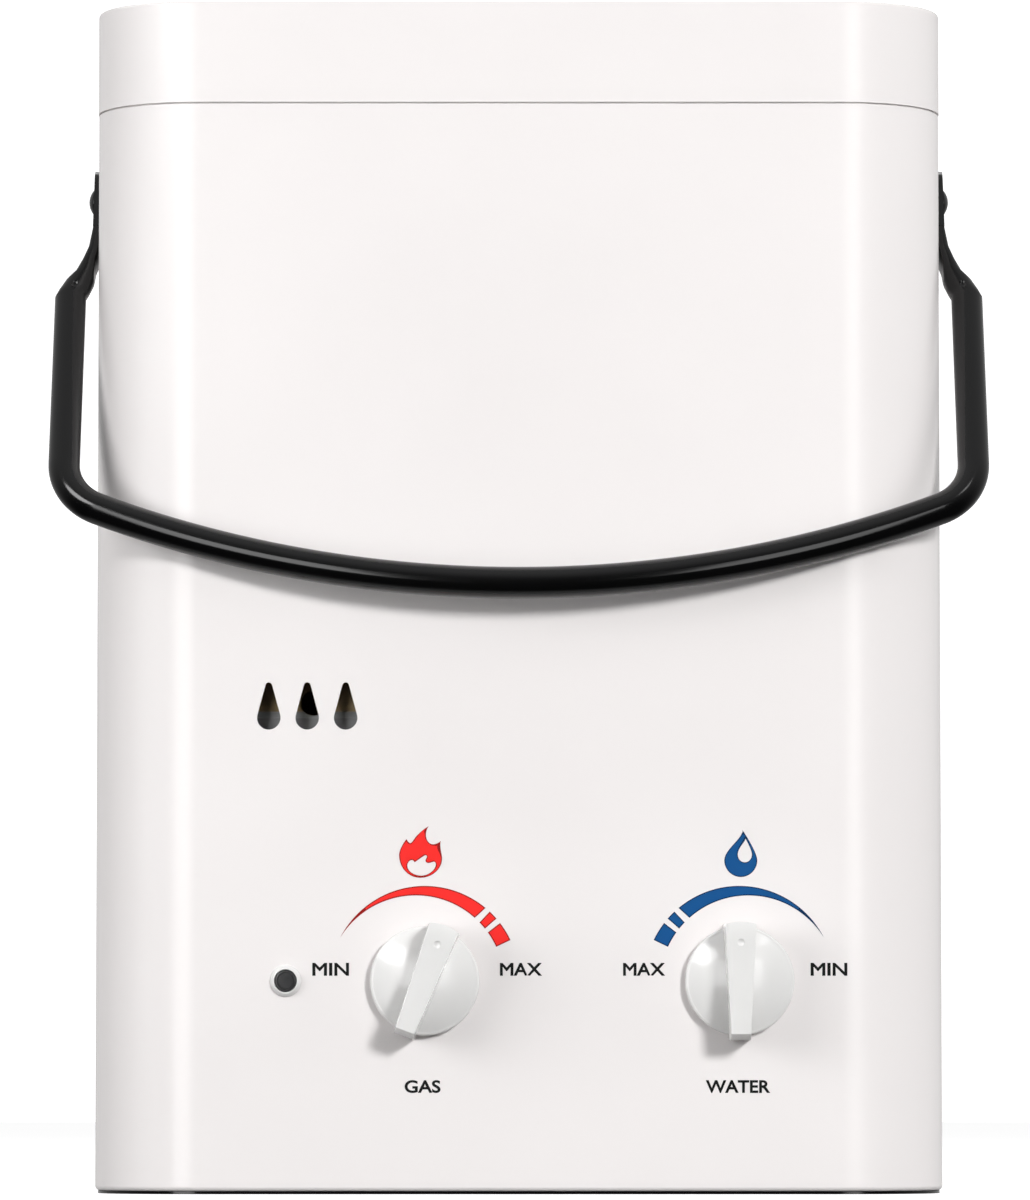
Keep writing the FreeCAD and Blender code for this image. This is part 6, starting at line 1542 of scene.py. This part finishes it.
FLAME = (
    (
        (2.95, 9.3, (-1.5, -0.7), (-0.75, -1.0)),
        (1.95, 6.1, (0.0, 1.2), (0.0, -1.9)),
        (4.5, 2.77, (-1.3, 0.0), (1.1, 0.0)),
        (7.35, 4.0, (-0.9, -0.75), (-0.7, -1.3)),
        (7.78, -2.2, (-0.15, 1.7), (0.1, -3.9)),
        (-0.1, -9.3, (4.3, 0.0), (-4.2, 0.0)),
        (-7.72, -1.2, (0.0, -4.5), (0.0, 2.2)),
        (-5.05, 4.65, (-0.9, -1.0), (0.35, -0.7)),
        (-3.7, 3.22, (-0.45, 0.0), (0.6, 0.0)),
        (-1.9, 5.25, (-0.6, -0.8), (1.0, 1.3)),
    ),
    (
        (1.6, -1.2, (-0.8, -0.35), (0.45, 0.2)),
        (2.3, -1.75, (0.1, 0.35), (-0.15, -0.5)),
        (1.75, -3.2, (0.0, 0.5), (0.2, -0.5)),
        (2.9, -3.95, (-0.5, 0.0), (0.6, 0.0)),
        (4.75, -3.5, (-0.6, -0.1), (0.5, 0.1)),
        (5.5, -4.6, (0.05, 0.5), (-0.1, -1.7)),
        (0.3, -8.5, (2.7, 0.0), (-2.7, 0.0)),
        (-4.75, -4.9, (0.0, -2.0), (0.0, 1.1)),
        (-3.15, -2.9, (-0.7, 0.0), (0.5, 0.0)),
        (-2.05, -3.7, (-0.3, 0.3), (0.5, 0.35)),
    ),
)


FLAME_SPOT = (-35.4, 122.9)  # middles of the icons, in mm
DROP_SPOT = (79.95, 122.4)
LETTER_SIZE = 10.0

# Name, word, middle across and up, and width, in mm
WORDS = (
    ("gas_min", "MIN", -67.7, 80.7, 13.2),
    ("gas_max", "MAX", 0.8, 80.7, 15.2),
    ("gas_name", "GAS", -34.6, 38.6, 12.9),
    ("water_name", "WATER", 78.8, 38.6, 23.2),
    ("water_max", "MAX", 45.1, 80.7, 15.2),
    ("water_min", "MIN", 111.6, 80.7, 13.2),
)


def thicken(bm, width):
    """Move the outline of flat letters outwards, which makes their strokes heavier."""
    moves = {}
    for spot in bm.verts:
        sides = []
        for loop in spot.link_loops:
            for item in (loop, loop.link_loop_prev):
                if item.edge.is_boundary:
                    along = item.link_loop_next.vert.co - item.vert.co
                    sides.append(Vector((along.y, -along.x, 0.0)).normalized())
        if len(sides) == 2:
            lean = max(0.4, 1.0 + sides[0].dot(sides[1]))
            moves[spot] = (sides[0] + sides[1]) * (width / lean)
    for spot, move in moves.items():
        spot.co += move


def word_faces(name, word, wide, size):
    """Bmesh of a word, flat, about its middle and facing the front."""
    text = bpy.data.curves.new(name, "FONT")
    text.body = word
    text.size = LETTER_SIZE
    text.resolution_u = 6
    bm = bmesh.new()
    mesh = flat_mesh(name, text)
    bm.from_mesh(mesh)
    bpy.data.meshes.remove(mesh)
    bmesh.ops.remove_doubles(bm, verts=bm.verts, dist=LETTER_SIZE * 0.004)
    thicken(bm, size.weight)
    across, up = ([spot.co[axis] for spot in bm.verts] for axis in (0, 1))
    middle = Vector(((min(across) + max(across)) / 2, (min(up) + max(up)) / 2, 0.0))
    bmesh.ops.translate(bm, vec=-middle, verts=bm.verts)
    fit = wide / (max(across) - min(across)), size.letter / (max(up) - min(up)), 1.0
    bmesh.ops.scale(bm, vec=fit, verts=bm.verts)
    bmesh.ops.transform(bm, matrix=TO_FRONT, verts=bm.verts)
    return bm


def icon_faces(name, shape, size):
    """Bmesh of an icon: a dark film, and the bright one printed inside its edge."""
    bm = bmesh.new()
    for order, edge in enumerate((0.0, size.outline / MM)):
        layer = bmesh.new()
        mesh = flat_curve(name, shape, edge)
        layer.from_mesh(mesh)
        bpy.data.meshes.remove(mesh)
        bmesh.ops.scale(layer, vec=(MM, MM, MM), verts=layer.verts)
        bmesh.ops.remove_doubles(layer, verts=layer.verts, dist=0.2 * NEAR)
        bmesh.ops.transform(layer, matrix=TO_FRONT, verts=layer.verts)
        for face in layer.faces:
            face.material_index = 1 - order
        raise_film(layer, size.film)
        out = (0.0, -order * size.film, 0.0)
        bmesh.ops.translate(layer, vec=out, verts=layer.verts)
        add_mesh(bm, layer)
    return bm


class HEATER_OT_prints(bpy.types.Operator):
    """Print the two scales, the flame, the drop and the words on the front"""

    bl_idname = "heater.prints"
    bl_label = "Prints"

    def execute(self, context):
        size = context.scene.heater_prints
        controls = context.scene.heater_controls
        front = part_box("front_cover")[0].y
        for name, across, hand, colour, tone_name, shape, spot in (
            ("gas", controls.gas_across, 1.0, size.red, "gas_red", FLAME, FLAME_SPOT),
            ("water", controls.water_across, -1.0, size.blue, "water_blue", DROP,
             DROP_SPOT),
        ):
            inks = ink(f"{tone_name}_ink", colour), ink(f"{tone_name}_edge", colour, 0.3)
            bm = scale_faces(size)
            if hand < 0:
                bmesh.ops.scale(bm, vec=(-1.0, 1.0, 1.0), verts=bm.verts)
            middle = (across, 0.0, controls.height)
            bmesh.ops.translate(bm, vec=middle, verts=bm.verts)
            scale = film_of(f"{name}_scale_print", bm, size.film, front, *inks)
            done(scale, "casing", "white_enamel")
            icon = new_piece(f"{name}_icon_print", icon_faces(name, shape, size), *inks)
            put(icon, Matrix.Translation((spot[0] * MM, front, spot[1] * MM)))
            done(icon, "casing", "white_enamel")
        black = ink("black_ink", size.black)
        for name, word, across, up, wide in WORDS:
            bm = word_faces(name, word, wide * MM, size)
            bmesh.ops.translate(bm, vec=(across * MM, 0.0, up * MM), verts=bm.verts)
            letters = film_of(f"{name}_print", bm, size.film, front, black)
            done(letters, "casing", "black_gloss")
        return {"FINISHED"}


# ---------------------------------------------------------------- the other nodes


class HEATER_OT_finishes(bpy.types.Operator):
    """Give every carried-over node its finish"""

    bl_idname = "heater.finishes"
    bl_label = "Finishes"

    def execute(self, context):
        for name, node in sorted(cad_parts.items()):
            for slot in node.material_slots:
                kind = NODE_FINISHES.get(name, slot.material.name.split(".")[0])
                slot.material = finish(kind)
        return {"FINISHED"}


# ---------------------------------------------------------------- studio


ROOM = 7.0  # radius of the floor and of the backdrop round it
HEART = (0.0, 0.0, 0.2)  # what the lights face, about the heater's middle
EDGE = 0.13  # how far to its sides the front strips face


def lamp(name, azimuth, elevation, distance, wide, tall, radiance, hidden, aim=HEART):
    """Add a soft light that faces the heater. Azimuth 0 is the front. The light is
    hidden either from diffuse or from glossy rays."""
    light = bpy.data.lights.new(name, "AREA")
    light.shape = "RECTANGLE"
    light.size = wide
    light.size_y = tall
    light.energy = radiance * math.pi * wide * tall
    item = bpy.data.objects.new(name, light)
    bpy.context.scene.collection.objects.link(item)
    side, up = math.radians(azimuth), math.radians(elevation)
    ray = Vector((
        math.sin(side) * math.cos(up), -math.cos(side) * math.cos(up), math.sin(up)
    ))
    item.location = Vector(aim) + ray * distance
    item.rotation_euler = ray.to_track_quat("Z", "Y").to_euler()
    item.visible_camera = False
    setattr(item, f"visible_{hidden}", False)
    return light


def glow(name, tone, strength):
    """Bare glowing grey or white of the stage."""
    material = bpy.data.materials.new(name)
    material.use_nodes = True
    nodes = material.node_tree.nodes
    shader = nodes["Principled BSDF"]
    shader.inputs["Base Color"].default_value = (tone, tone, tone, 1.0)
    shader.inputs["Roughness"].default_value = 0.9
    shader.inputs["Specular IOR Level"].default_value = 0.1
    shader.inputs["Emission Color"].default_value = (1.0, 1.0, 1.0, 1.0)
    shader.inputs["Emission Strength"].default_value = strength
    return material


class HEATER_OT_studio(bpy.types.Operator):
    """Set the camera, the pale floor, the backdrop and the lights"""

    bl_idname = "heater.studio"
    bl_label = "Studio"

    def execute(self, context):
        size = context.scene.heater_studio
        scene = context.scene
        scene.view_settings.view_transform = "Standard"
        lens = bpy.data.cameras.new("camera")
        lens.lens = size.lens
        lens.sensor_width = 36.0
        lens.clip_end = 50.0
        camera = bpy.data.objects.new("camera", lens)
        scene.collection.objects.link(camera)
        camera.location = (size.across, -size.distance, size.height)
        camera.rotation_euler = (math.pi / 2 + size.pitch, 0.0, 0.0)
        scene.camera = camera
        bm = bmesh.new()
        bmesh.ops.create_circle(bm, cap_ends=True, radius=ROOM, segments=96)
        floor = new_piece("floor", bm, glow("floor_paper", 0.42, size.floor))
        bm = bmesh.new()
        bmesh.ops.create_cone(
            bm, cap_ends=False, segments=96, radius1=ROOM, radius2=ROOM, depth=12.0
        )
        bmesh.ops.translate(bm, vec=(0.0, 0.0, 5.99), verts=bm.verts)
        bmesh.ops.reverse_faces(bm, faces=bm.faces)
        drum = new_piece("backdrop", bm, glow("backdrop_paper", 1.0, size.backdrop))
        for item, kinds in (
            (floor, ("diffuse", "glossy")),
            (drum, ("diffuse", "glossy", "shadow", "transmission")),
        ):
            for kind in kinds:
                setattr(item, f"visible_{kind}", False)
        self.light_room(scene, size)
        wide, key, fill, rear = size.key_wide, size.key, size.fill, size.rear
        for spec in (
            ("key", 26.0, 16.0, 3.4, wide, wide, key),
            ("left_fill", -58.0, 10.0, 2.4, 1.25, 1.25, fill),
            ("right_fill", 72.0, 10.0, 2.4, 1.25, 1.25, fill * 0.3),
            ("front_fill", 0.0, -18.0, 2.8, 2.6, 1.4, size.front),
            ("rear_right", 150.0, 32.0, 2.6, 1.2, 1.2, rear),
            ("rear_left", -138.0, 22.0, 2.6, 1.2, 1.2, rear * 0.5),
        ):
            lamp(*spec, "glossy")
        glints = {
            name: lamp(name, *spec, "diffuse", (aim, *HEART[1:]))
            for name, aim, *spec in (
                ("key_glint", 0.0, 36.0, 39.0, 2.6, 0.35, 0.35, 4.0),
                ("left_box", 0.0, -38.0, 25.0, 2.4, 1.15, 0.85, 6.5),
                ("left_strip", -EDGE, -16.5, 5.5, 2.2, 0.75, 1.1, 3.8),
                ("rear_strip", 0.0, 180.0, 55.0, 2.6, 3.0, 0.5, 3.5),
                ("right_strip", EDGE, 16.5, 5.5, 2.2, 0.6, 1.1, 2.6),
            )
        }
        glints["left_box"].shape = "ELLIPSE"
        return {"FINISHED"}

    def light_room(self, scene, size):
        """Light the room from above, behind and below, and dimly from the front."""
        world = bpy.data.worlds.new("room")
        scene.world = world
        world.use_nodes = True
        tree = world.node_tree
        place = tree.nodes.new("ShaderNodeTexCoord")
        total = tree.nodes.new("ShaderNodeMath")
        total.operation = "ADD"
        for socket, toward, start, end, low, high in (
            (0, (0.0, 0.6, 0.8), -0.55, 0.6, size.room_front, size.room),
            (1, (0.0, 0.3, -0.95), 0.7, 0.95, 0.0, size.room_below),
        ):
            along = tree.nodes.new("ShaderNodeVectorMath")
            along.operation = "DOT_PRODUCT"
            along.inputs[1].default_value = toward
            reach = tree.nodes.new("ShaderNodeMapRange")
            reach.interpolation_type = "SMOOTHSTEP"
            reach.inputs["From Min"].default_value = start
            reach.inputs["From Max"].default_value = end
            reach.inputs["To Min"].default_value = low
            reach.inputs["To Max"].default_value = high
            tree.links.new(place.outputs["Generated"], along.inputs[0])
            tree.links.new(along.outputs["Value"], reach.inputs["Value"])
            tree.links.new(reach.outputs["Result"], total.inputs[socket])
        sky = tree.nodes["Background"]
        tree.links.new(total.outputs["Value"], sky.inputs["Strength"])
        sky.inputs["Color"].default_value = (1.0, 1.0, 1.0, 1.0)


# ---------------------------------------------------------------- panel and registration

STEPS = (
    HEATER_OT_front_cover,
    HEATER_OT_rain_cap,
    HEATER_OT_bail_handle,
    HEATER_OT_pivot_screws,
    HEATER_OT_knobs,
    HEATER_OT_push_button,
    HEATER_OT_screws,
    HEATER_OT_fittings,
    HEATER_OT_prints,
    HEATER_OT_finishes,
    HEATER_OT_studio,
)


class HEATER_PT_pieces(bpy.types.Panel):
    """Sidebar list of the heater's pieces"""

    bl_label = "Water Heater"
    bl_idname = "HEATER_PT_pieces"
    bl_space_type = "VIEW_3D"
    bl_region_type = "UI"
    bl_category = "Water Heater"

    def draw(self, context):
        for step in STEPS:
            self.layout.operator(step.bl_idname)
        for name, group in GROUPS:
            column = self.layout.column(align=True)
            column.label(text=group.__doc__)
            for key in group.__annotations__:
                column.prop(getattr(context.scene, name), key)


CLASSES = (*(group for _, group in GROUPS), *STEPS, HEATER_PT_pieces)


def register():
    """Register the classes and hang the settings on the scene."""
    for item in CLASSES:
        bpy.utils.register_class(item)
    for name, group in GROUPS:
        setattr(bpy.types.Scene, name, PointerProperty(type=group))


def unregister():
    """Take the settings and the classes away."""
    for name, _ in GROUPS:
        delattr(bpy.types.Scene, name)
    for item in reversed(CLASSES):
        bpy.utils.unregister_class(item)


def main():
    """Make every piece in order."""
    register()
    for step in STEPS:
        group, name = step.bl_idname.split(".")
        getattr(getattr(bpy.ops, group), name)()


if __name__ == "__main__":
    main()
